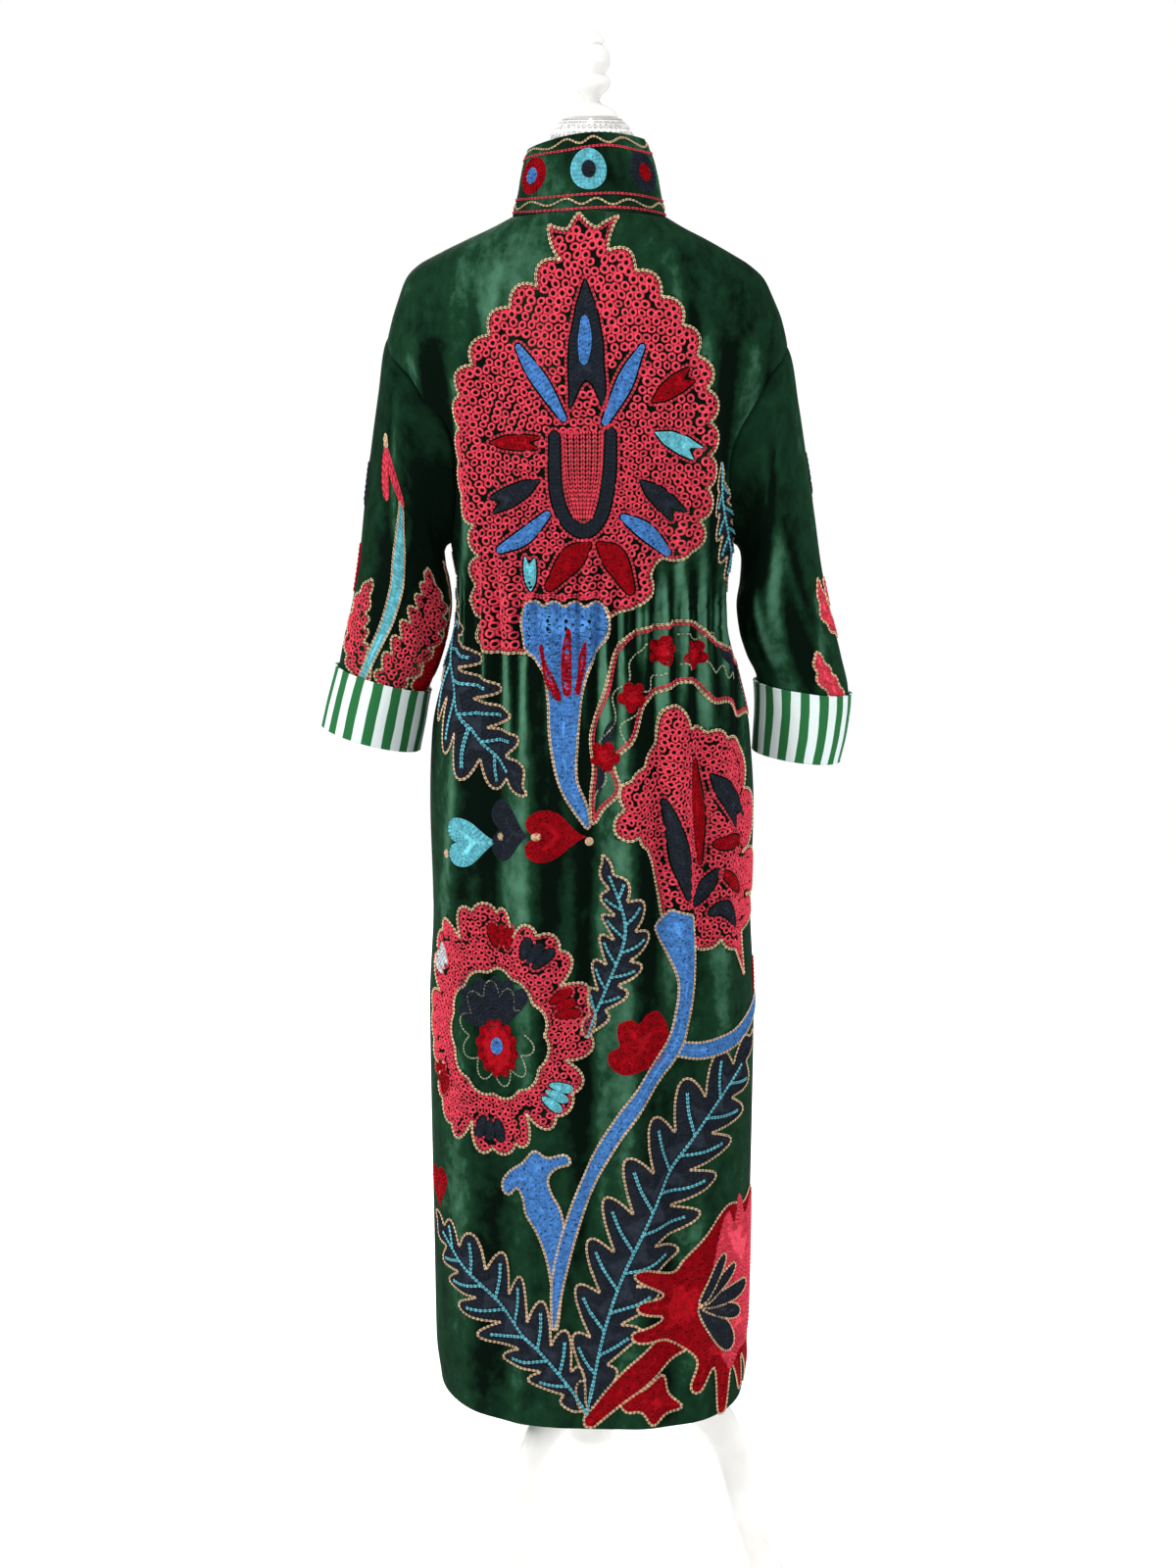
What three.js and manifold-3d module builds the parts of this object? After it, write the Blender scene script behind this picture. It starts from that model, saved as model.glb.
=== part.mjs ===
// An ankle-length velvet duster coat worn by a limbless dress form on a turned tripod stand.
// Millimetres, +Z up, floor at Z 0. The wearer faces -Y, so the coat's back is at +Y and its left side at +X.
import * as THREE from "three";
import { mergeVertices } from "three/addons/utils/BufferGeometryUtils.js";
import Module from "manifold-3d";

const wasm = await Module();
wasm.setup();

// ---- Driving dimensions ----
const clothThickness = 2.2; // velvet, embroidery and lining together
const collarThickness = 3;
const seamGap = 0.3; // between two pieces that are sewn or rest together
const neckSideHeight = 1447; // floor to the neck seam at the side of the neck
const hemSideHeight = 244; // floor to the hem at the side seam
const waistHeight = 1060; // middle of the elastic casing across the back
const gatherPitch = 20; // from one wave of the casing to the next
const gatherDepth = 3.2;
const frontGapTop = 5; // half the gap between the front edges at the neck
const frontGapHem = 13; // the same at the hem
const cuffProud = 4.6; // how far the turned-back cuff stands off the sleeve
const backSegments = 64;
const frontSegments = 11;
const sleeveSegments = 18;
const neckTopHeight = 1541;
const torsoBottomHeight = 772;
const poleRadius = 14;
const hubRadius = 24;
const hubTop = 318;
const hubBottom = 150;
const legThickness = 24;
const legCount = 3;

// The coat's rings from hem to neck. z is the height on the side line, halfWidth is along X, back and front
// are the depths along Y, square is the ring's exponent, liftBack and liftFront raise the ring at the centre
// back and front, shift moves it along X, and tilt raises its left side and lowers its right.
const coatRings = [
  { z: 244, halfWidth: 160, back: 136, front: 128, square: 2.8, liftBack: -9, liftFront: -6, shift: 0, tilt: 6 },
  { z: 290, halfWidth: 165, back: 137, front: 129, square: 2.7, liftBack: -5, liftFront: -4, shift: 0, tilt: 3 },
  { z: 400, halfWidth: 166, back: 138, front: 130, square: 2.6, liftBack: 0, liftFront: 0, shift: 0, tilt: 0 },
  { z: 650, halfWidth: 168, back: 139, front: 132, square: 2.5, liftBack: 0, liftFront: 0, shift: 0, tilt: 0 },
  { z: 760, halfWidth: 163, back: 138, front: 132, square: 2.5, liftBack: 0, liftFront: 0, shift: 0, tilt: 0 },
  { z: 860, halfWidth: 165, back: 139, front: 133, square: 2.4, liftBack: 0, liftFront: 0, shift: 0, tilt: 0 },
  { z: 940, halfWidth: 161, back: 128, front: 130, square: 2.4, liftBack: 0, liftFront: 0, shift: 1, tilt: 0 },
  { z: 1000, halfWidth: 148, back: 108, front: 124, square: 2.4, liftBack: 0, liftFront: 0, shift: 1, tilt: 0 },
  { z: 1050, halfWidth: 136, back: 94, front: 118, square: 2.3, liftBack: 0, liftFront: 0, shift: 0, tilt: 0 },
  { z: 1085, halfWidth: 135, back: 93, front: 118, square: 2.3, liftBack: 0, liftFront: 0, shift: 0, tilt: 0 },
  { z: 1125, halfWidth: 141, back: 100, front: 125, square: 2.3, liftBack: 0, liftFront: 0, shift: 0, tilt: 0 },
  { z: 1180, halfWidth: 150, back: 109, front: 134, square: 2.3, liftBack: 0, liftFront: 0, shift: 0, tilt: 0 },
  { z: 1230, halfWidth: 159, back: 114, front: 136, square: 2.3, liftBack: 0, liftFront: 0, shift: 0, tilt: 0 },
  { z: 1280, halfWidth: 176, back: 115, front: 128, square: 2.3, liftBack: 0, liftFront: 0, shift: 2, tilt: 0 },
  { z: 1318, halfWidth: 198, back: 111, front: 116, square: 2.3, liftBack: 0, liftFront: 0, shift: 5, tilt: 0 },
  { z: 1345, halfWidth: 193, back: 104, front: 105, square: 2.2, liftBack: 0, liftFront: -2, shift: 5, tilt: 0 },
  { z: 1370, halfWidth: 184, back: 97, front: 97, square: 2.2, liftBack: 0, liftFront: -5, shift: 6, tilt: 0 },
  { z: 1388, halfWidth: 176, back: 90, front: 91, square: 2.1, liftBack: 1, liftFront: -10, shift: 7, tilt: 0 },
  { z: 1401, halfWidth: 163, back: 85, front: 86, square: 2.1, liftBack: 2, liftFront: -17, shift: 8, tilt: 0 },
  { z: 1412, halfWidth: 144, back: 79, front: 81, square: 2.1, liftBack: 3, liftFront: -25, shift: 7, tilt: 0 },
  { z: 1427, halfWidth: 115, back: 72, front: 75, square: 2.05, liftBack: 4, liftFront: -37, shift: 5, tilt: 0 },
  { z: 1437, halfWidth: 94, back: 67, front: 70, square: 2, liftBack: 5, liftFront: -46, shift: 4, tilt: 0 },
  { z: 1447, halfWidth: 76, back: 62, front: 66, square: 2, liftBack: 5, liftFront: -55, shift: 3, tilt: 0 },
];

const rowHeights = [
  244, 270, 335, 430, 530, 630, 720, 790, 850, 905, 950, 985, 1015, 1040, 1060, 1080, 1105, 1140, 1185,
  1230, 1272, 1300, 1322, 1345, 1368, 1388, 1401, 1412, 1427, 1437, 1447,
];

// Soft folds. Each runs from its top point to its bottom point as X and height, with a half width and a depth,
// which is positive for a ridge and negative for a trough.
const backFolds = [
  { xTop: 170, zTop: 1345, xBottom: 148, zBottom: 1150, halfWidth: 10, depth: 4 },
  { xTop: 148, zTop: 1335, xBottom: 132, zBottom: 1110, halfWidth: 10, depth: -5 },
  { xTop: 124, zTop: 1310, xBottom: 112, zBottom: 1100, halfWidth: 11, depth: 4 },
  { xTop: -116, zTop: 1340, xBottom: -106, zBottom: 1110, halfWidth: 11, depth: 4 },
  { xTop: -140, zTop: 1335, xBottom: -126, zBottom: 1110, halfWidth: 10, depth: -5 },
  { xTop: -166, zTop: 1340, xBottom: -146, zBottom: 1150, halfWidth: 10, depth: 4 },
  { xTop: 118, zTop: 1050, xBottom: 140, zBottom: 740, halfWidth: 11, depth: 6 },
  { xTop: 92, zTop: 1050, xBottom: 100, zBottom: 640, halfWidth: 13, depth: -6 },
  { xTop: 60, zTop: 1050, xBottom: 57, zBottom: 540, halfWidth: 14, depth: 7 },
  { xTop: 29, zTop: 1050, xBottom: 32, zBottom: 620, halfWidth: 13, depth: -4 },
  { xTop: 0, zTop: 1050, xBottom: 2, zBottom: 400, halfWidth: 14, depth: -8 },
  { xTop: -33, zTop: 1050, xBottom: -43, zBottom: 470, halfWidth: 14, depth: 7 },
  { xTop: -60, zTop: 1050, xBottom: -68, zBottom: 660, halfWidth: 11, depth: -6 },
  { xTop: -80, zTop: 1050, xBottom: -92, zBottom: 600, halfWidth: 12, depth: 7 },
  { xTop: -100, zTop: 1050, xBottom: -116, zBottom: 560, halfWidth: 11, depth: -7 },
  { xTop: -118, zTop: 1045, xBottom: -140, zBottom: 620, halfWidth: 11, depth: 5 },
  { xTop: -78, zTop: 620, xBottom: -84, zBottom: 235, halfWidth: 14, depth: -6 },
  { xTop: -48, zTop: 520, xBottom: -50, zBottom: 235, halfWidth: 16, depth: 4 },
  { xTop: 84, zTop: 560, xBottom: 96, zBottom: 235, halfWidth: 17, depth: -5 },
  { xTop: 128, zTop: 700, xBottom: 122, zBottom: 235, halfWidth: 15, depth: 4 },
];
const frontFolds = [
  { xTop: 112, zTop: 1320, xBottom: 100, zBottom: 1060, halfWidth: 14, depth: -5 },
  { xTop: 66, zTop: 1240, xBottom: 62, zBottom: 700, halfWidth: 18, depth: 5 },
  { xTop: 116, zTop: 1080, xBottom: 128, zBottom: 480, halfWidth: 15, depth: 6 },
  { xTop: 92, zTop: 1020, xBottom: 96, zBottom: 300, halfWidth: 14, depth: -6 },
  { xTop: 34, zTop: 900, xBottom: 40, zBottom: 235, halfWidth: 14, depth: -5 },
  { xTop: -112, zTop: 1320, xBottom: -98, zBottom: 1060, halfWidth: 14, depth: -5 },
  { xTop: -62, zTop: 1250, xBottom: -56, zBottom: 640, halfWidth: 18, depth: 5 },
  { xTop: -112, zTop: 1070, xBottom: -124, zBottom: 420, halfWidth: 16, depth: 6 },
  { xTop: -88, zTop: 1000, xBottom: -90, zBottom: 260, halfWidth: 14, depth: -6 },
  { xTop: -32, zTop: 860, xBottom: -36, zBottom: 235, halfWidth: 14, depth: -5 },
];

// Sleeve sections, fanned about the underarm: the body-side point, the far-side point, the half depth and
// the middle's Y.
const leftSleeve = [
  { innerX: 120, innerZ: 1138, outerX: 152, outerZ: 1354, halfDepth: 60, y: 0 },
  { innerX: 146, innerZ: 1124, outerX: 203, outerZ: 1328, halfDepth: 64, y: 0 },
  { innerX: 148, innerZ: 1117, outerX: 212, outerZ: 1276, halfDepth: 63, y: -1 },
  { innerX: 147, innerZ: 1106, outerX: 221, outerZ: 1216, halfDepth: 60, y: -2 },
  { innerX: 145, innerZ: 1089, outerX: 228, outerZ: 1164, halfDepth: 57, y: -4 },
  { innerX: 143, innerZ: 1067, outerX: 234, outerZ: 1114, halfDepth: 53, y: -6 },
  { innerX: 147, innerZ: 1037, outerX: 242, outerZ: 1068, halfDepth: 50, y: -8 },
  { innerX: 156, innerZ: 1005, outerX: 251, outerZ: 1032, halfDepth: 48, y: -10 },
  { innerX: 167, innerZ: 978, outerX: 257, outerZ: 1003, halfDepth: 46, y: -11 },
  { innerX: 175, innerZ: 946, outerX: 264, outerZ: 970, halfDepth: 45, y: -12 },
  { innerX: 183, innerZ: 915, outerX: 270, outerZ: 939, halfDepth: 44, y: -12 },
];
const rightSleeve = [
  { innerX: 120, innerZ: 1138, outerX: 146, outerZ: 1346, halfDepth: 60, y: 0 },
  { innerX: 146, innerZ: 1124, outerX: 194, outerZ: 1320, halfDepth: 65, y: 0 },
  { innerX: 149, innerZ: 1117, outerX: 205, outerZ: 1266, halfDepth: 65, y: 0 },
  { innerX: 150, innerZ: 1107, outerX: 214, outerZ: 1212, halfDepth: 63, y: -2 },
  { innerX: 149, innerZ: 1088, outerX: 223, outerZ: 1156, halfDepth: 60, y: -3 },
  { innerX: 146, innerZ: 1065, outerX: 231, outerZ: 1104, halfDepth: 57, y: -5 },
  { innerX: 149, innerZ: 1039, outerX: 242, outerZ: 1054, halfDepth: 53, y: -7 },
  { innerX: 157, innerZ: 1013, outerX: 253, outerZ: 1012, halfDepth: 50, y: -9 },
  { innerX: 168, innerZ: 988, outerX: 261, outerZ: 974, halfDepth: 48, y: -10 },
  { innerX: 171, innerZ: 950, outerX: 256, outerZ: 939, halfDepth: 46, y: -11 },
  { innerX: 171, innerZ: 914, outerX: 247, outerZ: 904, halfDepth: 44, y: -11 },
];
const cuffFirstSection = 8; // the cuff covers the sleeve from this section to its end

// Creases across the sleeve: along is the section number, around is the place round the tube in turns from
// its far side towards the back, and the reaches are in sections and turns.
const leftSleeveFolds = [
  { along: 3.4, around: 0.33, alongReach: 2.4, aroundReach: 0.06, depth: -6 },
  { along: 4.6, around: 0.42, alongReach: 2.2, aroundReach: 0.05, depth: 4 },
  { along: 5.6, around: 0.18, alongReach: 1.6, aroundReach: 0.08, depth: -4 },
  { along: 5.0, around: 0.7, alongReach: 2.0, aroundReach: 0.07, depth: -5 },
];
const rightSleeveFolds = [
  { along: 3.1, around: 0.37, alongReach: 1.2, aroundReach: 0.07, depth: -8 },
  { along: 4.4, around: 0.3, alongReach: 2.0, aroundReach: 0.05, depth: 5 },
  { along: 6.2, around: 0.26, alongReach: 1.8, aroundReach: 0.045, depth: -5 },
  { along: 5.0, around: 0.68, alongReach: 2.0, aroundReach: 0.07, depth: -5 },
];

// The collar's bottom and top rings, in the columns of the coat's rings.
const collarRings = [
  { z: 1448, halfWidth: 75, back: 61, front: 65, square: 2, liftBack: 5, liftFront: -55, shift: 3, tilt: 0 },
  { z: 1470, halfWidth: 70, back: 58, front: 62, square: 2, liftBack: 6, liftFront: -54, shift: 3, tilt: -1 },
  { z: 1498, halfWidth: 64, back: 55, front: 58, square: 2, liftBack: 8, liftFront: -50, shift: 4, tilt: -3 },
  { z: 1516, halfWidth: 57, back: 51, front: 54, square: 2, liftBack: 10, liftFront: -46, shift: 6, tilt: -5 },
];
const collarSegments = 36;
const collarGapTop = 13; // half the gap between the collar's front ends at its top

// The dress form's torso as clearances inside the coat's wall. It carries the coat on its shoulders.
const torsoClearance = [
  { z: 790, inside: 18 },
  { z: 860, inside: 16 },
  { z: 940, inside: 17 },
  { z: 1000, inside: 18 },
  { z: 1060, inside: 20 },
  { z: 1125, inside: 14 },
  { z: 1180, inside: 12 },
  { z: 1230, inside: 12 },
  { z: 1280, inside: 22 },
  { z: 1315, inside: 30 },
  { z: 1345, inside: 24 },
  { z: 1370, inside: 10 },
  { z: 1388, inside: 2 },
  { z: 1401, inside: 0.5 },
  { z: 1412, inside: 0.5 },
  { z: 1427, inside: 0.5 },
  { z: 1437, inside: 6 },
];
// The neck above it, as radii.
const neckRings = [
  { z: 1447, radius: 55 },
  { z: 1460, radius: 49 },
  { z: 1480, radius: 42 },
  { z: 1510, radius: 36.5 },
  { z: neckTopHeight, radius: 32.5 },
];
const torsoSegments = 28;
const torsoBottomTaper = 0.94;
const neckFrontDrop = 54; // how much lower the neck's base lies in front
const neckFlattening = 0.96;

// ---- Curves and rings ----

// A column of a table at a place, by cubics that don't overshoot.
function readTable(table, column, at, key = "z") {
  const last = table.length - 1;
  if (at <= table[0][key]) return table[0][column];
  if (at >= table[last][key]) return table[last][column];
  const index = table.findIndex((row) => row[key] > at) - 1;
  const slope = (i) => {
    if (i < 0 || i >= last) return null;
    return (table[i + 1][column] - table[i][column]) / (table[i + 1][key] - table[i][key]);
  };
  const tangent = (i) => {
    const before = slope(i - 1);
    const after = slope(i);
    if (before === null || after === null) return before ?? after;
    return before * after <= 0 ? 0 : (2 * before * after) / (before + after);
  };
  const low = table[index];
  const high = table[index + 1];
  const width = high[key] - low[key];
  const t = (at - low[key]) / width;
  return (
    low[column] * (1 + 2 * t) * (1 - t) ** 2 +
    tangent(index) * width * t * (1 - t) ** 2 +
    high[column] * t * t * (3 - 2 * t) +
    tangent(index + 1) * width * t * t * (t - 1)
  );
}

const signedPower = (value, power) => Math.sign(value) * Math.abs(value) ** power;

// A point on a ring of a table: angle 0 is the left side (+X), a quarter turn is the centre back.
function ringPoint(table, height, angle) {
  const at = (column) => readTable(table, column, height);
  const power = 2 / at("square");
  const cosine = Math.cos(angle);
  const sine = Math.sin(angle);
  const isBack = sine >= 0;
  return new THREE.Vector3(
    at("shift") + at("halfWidth") * signedPower(cosine, power),
    (isBack ? at("back") : at("front")) * signedPower(sine, power),
    height + (isBack ? at("liftBack") : at("liftFront")) * sine * sine + at("tilt") * cosine,
  );
}

// How far the folds move the cloth outwards at X and height.
function foldDepth(folds, x, height) {
  let sum = 0;
  for (const fold of folds) {
    const t = (fold.zTop - height) / (fold.zTop - fold.zBottom);
    if (t <= 0 || t >= 1) continue;
    const middle = fold.xTop + (fold.xBottom - fold.xTop) * t;
    const across = (x - middle) / fold.halfWidth;
    sum += fold.depth * Math.sin(Math.PI * t) ** 0.6 * Math.exp(-across * across);
  }
  return sum;
}

// The gathers along the elastic casing: deepest at the casing, dying out above and below it.
function gatherOffset(x, height) {
  const reach = height > waistHeight ? 60 : 95;
  const strength = Math.exp(-(((height - waistHeight) / reach) ** 2));
  const uneven = 0.78 + 0.22 * Math.sin(x / 13 + 1);
  return gatherDepth * strength * uneven * Math.sin((2 * Math.PI * x) / gatherPitch + 0.9 * Math.sin(x / 41));
}

// A point on the outside of the coat's body.
function coatPoint(height, angle) {
  const point = ringPoint(coatRings, height, angle);
  const sine = Math.sin(angle);
  const isBack = sine >= 0;
  const folds = isBack ? backFolds : frontFolds;
  const fade = Math.min(1, (Math.abs(sine) / 0.32) ** 2); // no fold crosses a side seam
  const halfWidth = readTable(coatRings, "halfWidth", height);
  const depth = readTable(coatRings, isBack ? "back" : "front", height);
  let offset = foldDepth(folds, point.x, height) * fade;
  if (isBack) offset += gatherOffset(point.x, height) * fade;
  const outward = new THREE.Vector3(point.x / halfWidth ** 2, point.y / depth ** 2, 0).normalize();
  return point.addScaledVector(outward, offset);
}

// ---- Walls ----

// Outward normals of a grid of points, rows by columns. fixNormal(normal, column) may level one at a seam.
function gridNormals(grid, wraps, fixNormal) {
  const rows = grid.length;
  const columns = grid[0].length;
  return grid.map((row, i) =>
    row.map((_, j) => {
      const before = wraps ? (j + columns - 1) % columns : Math.max(j - 1, 0);
      const after = wraps ? (j + 1) % columns : Math.min(j + 1, columns - 1);
      const across = row[after].clone().sub(row[before]);
      const up = grid[Math.min(i + 1, rows - 1)][j].clone().sub(grid[Math.max(i - 1, 0)][j]);
      const normal = across.cross(up).normalize();
      if (fixNormal) fixNormal(normal, j);
      return normal;
    }),
  );
}

function shift(grid, normals, distance) {
  return grid.map((row, i) => row.map((point, j) => point.clone().addScaledVector(normals[i][j], distance)));
}

function geometryOf(points, triangles) {
  const geometry = new THREE.BufferGeometry().setFromPoints(points);
  geometry.setIndex(triangles);
  return geometry;
}

// A wall between an outer and an inner grid, closed round its edges. Columns run anticlockwise seen from above.
function wallGeometry(outer, inner, wraps) {
  const rows = outer.length;
  const columns = outer[0].length;
  const points = [...outer.flat(), ...inner.flat()];
  const triangles = [];
  const quad = (a, b, c, d) => triangles.push(a, b, c, a, c, d);
  const outside = (i, j) => i * columns + (j % columns);
  const inside = (i, j) => rows * columns + outside(i, j);
  const lastColumn = wraps ? columns : columns - 1;
  for (let i = 0; i < rows - 1; i += 1) {
    for (let j = 0; j < lastColumn; j += 1) {
      quad(outside(i, j), outside(i, j + 1), outside(i + 1, j + 1), outside(i + 1, j));
      quad(inside(i, j), inside(i + 1, j), inside(i + 1, j + 1), inside(i, j + 1));
    }
    if (!wraps) {
      quad(outside(i, 0), outside(i + 1, 0), inside(i + 1, 0), inside(i, 0));
      const j = lastColumn;
      quad(outside(i, j), inside(i, j), inside(i + 1, j), outside(i + 1, j));
    }
  }
  for (let j = 0; j < lastColumn; j += 1) {
    quad(outside(0, j), inside(0, j), inside(0, j + 1), outside(0, j + 1));
    quad(outside(rows - 1, j), outside(rows - 1, j + 1), inside(rows - 1, j + 1), inside(rows - 1, j));
  }
  return geometryOf(points, triangles);
}

// A filled solid bounded by a wrapped grid and a fan at each end.
function filledGeometry(grid) {
  const rows = grid.length;
  const columns = grid[0].length;
  const middle = (row) => row.reduce((sum, p) => sum.add(p), new THREE.Vector3()).divideScalar(columns);
  const points = [...grid.flat(), middle(grid[0]), middle(grid[rows - 1])];
  const bottom = rows * columns;
  const top = bottom + 1;
  const triangles = [];
  for (let j = 0; j < columns; j += 1) {
    const next = (j + 1) % columns;
    for (let i = 0; i < rows - 1; i += 1) {
      const a = i * columns;
      const b = a + columns;
      triangles.push(a + j, a + next, b + next, a + j, b + next, b + j);
    }
    triangles.push(bottom, next, j, top, (rows - 1) * columns + j, (rows - 1) * columns + next);
  }
  return geometryOf(points, triangles);
}

function solidOf(geometry) {
  const bare = geometry.clone();
  bare.deleteAttribute("normal");
  bare.deleteAttribute("uv");
  const merged = mergeVertices(bare, 1e-4);
  return new wasm.Manifold(
    new wasm.Mesh({
      numProp: 3,
      vertProperties: merged.attributes.position.array,
      triVerts: new Uint32Array(merged.index.array),
    }),
  );
}

// The largest body of a solid as a geometry: a cut can leave crumbs of cloth behind.
function geometryFrom(solid) {
  const largest = solid.decompose().reduce((a, b) => (a.volume() > b.volume() ? a : b));
  const mesh = largest.getMesh();
  const geometry = new THREE.BufferGeometry();
  geometry.setAttribute("position", new THREE.BufferAttribute(mesh.vertProperties, 3));
  geometry.setIndex(new THREE.BufferAttribute(mesh.triVerts, 1));
  return geometry;
}

// ---- The coat's body ----

const seamHalfGap = 0.5 * seamGap + 0.05;

// Angles that split an arc of the waist ring, between two quarter turns, into even lengths.
function evenAngles(fromAngle, toAngle, segments) {
  const steps = 720;
  const waist = (angle) => ringPoint(coatRings, waistHeight, angle);
  const angleAt = (k) => fromAngle + ((toAngle - fromAngle) * k) / steps;
  const lengths = [0];
  for (let k = 1; k <= steps; k += 1) {
    lengths.push(lengths[k - 1] + waist(angleAt(k)).distanceTo(waist(angleAt(k - 1))));
  }
  return Array.from({ length: segments + 1 }, (_, j) => {
    const wanted = lengths[steps] * (j / segments);
    const k = Math.max(1, lengths.findIndex((length) => length >= wanted));
    const part = (wanted - lengths[k - 1]) / (lengths[k] - lengths[k - 1]);
    return angleAt(k - 1 + part);
  });
}

// One panel of the body between two angles. The first and last columns lie on a seam or on the front edge.
function panelGrid(fromAngle, toAngle, segments) {
  const angles = evenAngles(fromAngle, toAngle, segments);
  return rowHeights.map((height) => angles.map((angle) => coatPoint(height, angle)));
}

function frontEdgeGap(height) {
  const share = (neckSideHeight - height) / (neckSideHeight - hemSideHeight);
  return frontGapTop + (frontGapHem - frontGapTop) * share;
}

// Moves a panel's side seams apart along Y and its front edge away from the centre front.
function openSeams(grid, isBack, frontColumn) {
  const columns = grid[0].length;
  grid.forEach((row, i) => {
    for (const j of [0, columns - 1]) {
      if (j === frontColumn) {
        const side = Math.sign(row[Math.floor(columns / 2)].x);
        row[j].x = side * frontEdgeGap(rowHeights[i]);
      } else {
        row[j].y = isBack ? seamHalfGap : -seamHalfGap;
      }
    }
  });
  return grid;
}

function levelSeamNormal(columns, frontColumn) {
  return (normal, column) => {
    if (column !== 0 && column !== columns - 1) return;
    if (column === frontColumn) normal.x = 0;
    else normal.y = 0;
    normal.normalize();
  };
}

const halfTurn = Math.PI;
const panels = {
  backPanel: {
    grid: openSeams(panelGrid(0, halfTurn, backSegments), true, -1),
    frontColumn: -1,
  },
  rightFront: {
    grid: openSeams(panelGrid(halfTurn, 1.5 * halfTurn, frontSegments), false, frontSegments),
    frontColumn: frontSegments,
  },
  leftFront: {
    grid: openSeams(panelGrid(1.5 * halfTurn, 2 * halfTurn, frontSegments), false, 0),
    frontColumn: 0,
  },
};
for (const panel of Object.values(panels)) {
  panel.normals = gridNormals(panel.grid, false, levelSeamNormal(panel.grid[0].length, panel.frontColumn));
}

// The coat's whole outer form, a seam's gap larger, which the sleeves are cut by.
const swollenRows = rowHeights.map((_, i) =>
  Object.values(panels).flatMap((panel) => shift(panel.grid, panel.normals, seamGap)[i]),
);
const swollenBody = solidOf(filledGeometry(swollenRows));

// ---- Sleeves and cuffs ----

function sleeveFoldDepth(folds, section, turn) {
  let sum = 0;
  for (const fold of folds) {
    const along = (section - fold.along) / fold.alongReach;
    const gap = Math.abs(turn - fold.around);
    const around = Math.min(gap, 1 - gap) / fold.aroundReach;
    sum += fold.depth * Math.exp(-along * along - around * around);
  }
  return sum;
}

// A sleeve's rings from the cuff end up to the armhole. side is 1 for the left sleeve and -1 for the right one.
function sleeveGrid(sections, folds, side, fromSection) {
  const grid = [];
  for (let section = sections.length - 1; section >= fromSection; section -= 1) {
    const { innerX, innerZ, outerX, outerZ, halfDepth, y } = sections[section];
    const middle = new THREE.Vector3((innerX + outerX) / 2, y, (innerZ + outerZ) / 2);
    const reach = new THREE.Vector3((outerX - innerX) / 2, 0, (outerZ - innerZ) / 2);
    const row = [];
    for (let j = 0; j < sleeveSegments; j += 1) {
      const turn = j / sleeveSegments;
      const angle = 2 * Math.PI * turn;
      const swell = 1 + sleeveFoldDepth(folds, section, turn) / (0.5 * (reach.length() + halfDepth));
      const point = middle.clone();
      point.addScaledVector(reach, swell * Math.cos(angle));
      point.y += halfDepth * swell * Math.sin(angle);
      point.x *= side;
      row.push(point);
    }
    if (side < 0) row.reverse();
    grid.push(row);
  }
  return grid;
}

function sleeveParts(sections, folds, side) {
  const outer = sleeveGrid(sections, folds, side, 0);
  const normals = gridNormals(outer, true);
  const inner = shift(outer, normals, -clothThickness);
  const wall = solidOf(wallGeometry(outer, inner, true));
  const hollow = solidOf(filledGeometry(inner));
  const sleeve = wall.subtract(swollenBody);
  const cuffRows = sections.length - cuffFirstSection;
  const cuffOuter = shift(outer, normals, cuffProud).slice(0, cuffRows);
  const cuffInner = shift(outer, normals, 2 * seamGap).slice(0, cuffRows);
  return { sleeve: geometryFrom(sleeve), hollow, cuff: wallGeometry(cuffOuter, cuffInner, true) };
}

const left = sleeveParts(leftSleeve, leftSleeveFolds, 1);
const right = sleeveParts(rightSleeve, rightSleeveFolds, -1);

// A body panel's wall with the armholes cut through it.
function panelGeometry({ grid, normals }) {
  const wall = solidOf(wallGeometry(grid, shift(grid, normals, -clothThickness), false));
  return geometryFrom(wall.subtract(left.hollow).subtract(right.hollow));
}

// ---- Collar ----

function collarGeometry() {
  const grid = collarRings.map(({ z }, i) => {
    const gap = frontGapTop + ((collarGapTop - frontGapTop) * i) / (collarRings.length - 1);
    const row = [];
    for (let j = 0; j <= collarSegments; j += 1) {
      const frontLeft = -0.5 * Math.PI;
      const point = ringPoint(collarRings, z, frontLeft + (2 * Math.PI * j) / collarSegments);
      if (j === 0) point.x = gap;
      if (j === collarSegments) point.x = -gap;
      row.push(point);
    }
    return row;
  });
  const normals = gridNormals(grid, false, levelSeamNormal(collarSegments + 1, 0));
  normals.forEach((row) => row[collarSegments].set(0, -1, row[collarSegments].z).normalize());
  return wallGeometry(grid, shift(grid, normals, -collarThickness), false);
}

// ---- Dress form and stand ----

function torsoGeometry() {
  const angles = Array.from({ length: torsoSegments }, (_, j) => (2 * Math.PI * j) / torsoSegments);
  const smoothRows = torsoClearance.map(({ z }) => angles.map((angle) => ringPoint(coatRings, z, angle)));
  const normals = gridNormals(smoothRows, true);
  const grid = smoothRows.map((row, i) => {
    const depth = clothThickness + torsoClearance[i].inside;
    return row.map((point, j) => point.clone().addScaledVector(normals[i][j], -depth));
  });
  const bottom = grid[0].map(
    ({ x, y }) => new THREE.Vector3(torsoBottomTaper * x, torsoBottomTaper * y, torsoBottomHeight),
  );
  const neck = neckRings.map(({ z, radius }) => {
    const frontDrop = (neckFrontDrop * (neckTopHeight - z)) / (neckTopHeight - neckSideHeight);
    return angles.map((angle) => {
      const sine = Math.sin(angle);
      const height = sine < 0 ? z - frontDrop * sine * sine : z;
      return new THREE.Vector3(radius * Math.cos(angle), neckFlattening * radius * sine, height);
    });
  });
  return filledGeometry([bottom, ...grid, ...neck]);
}

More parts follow.
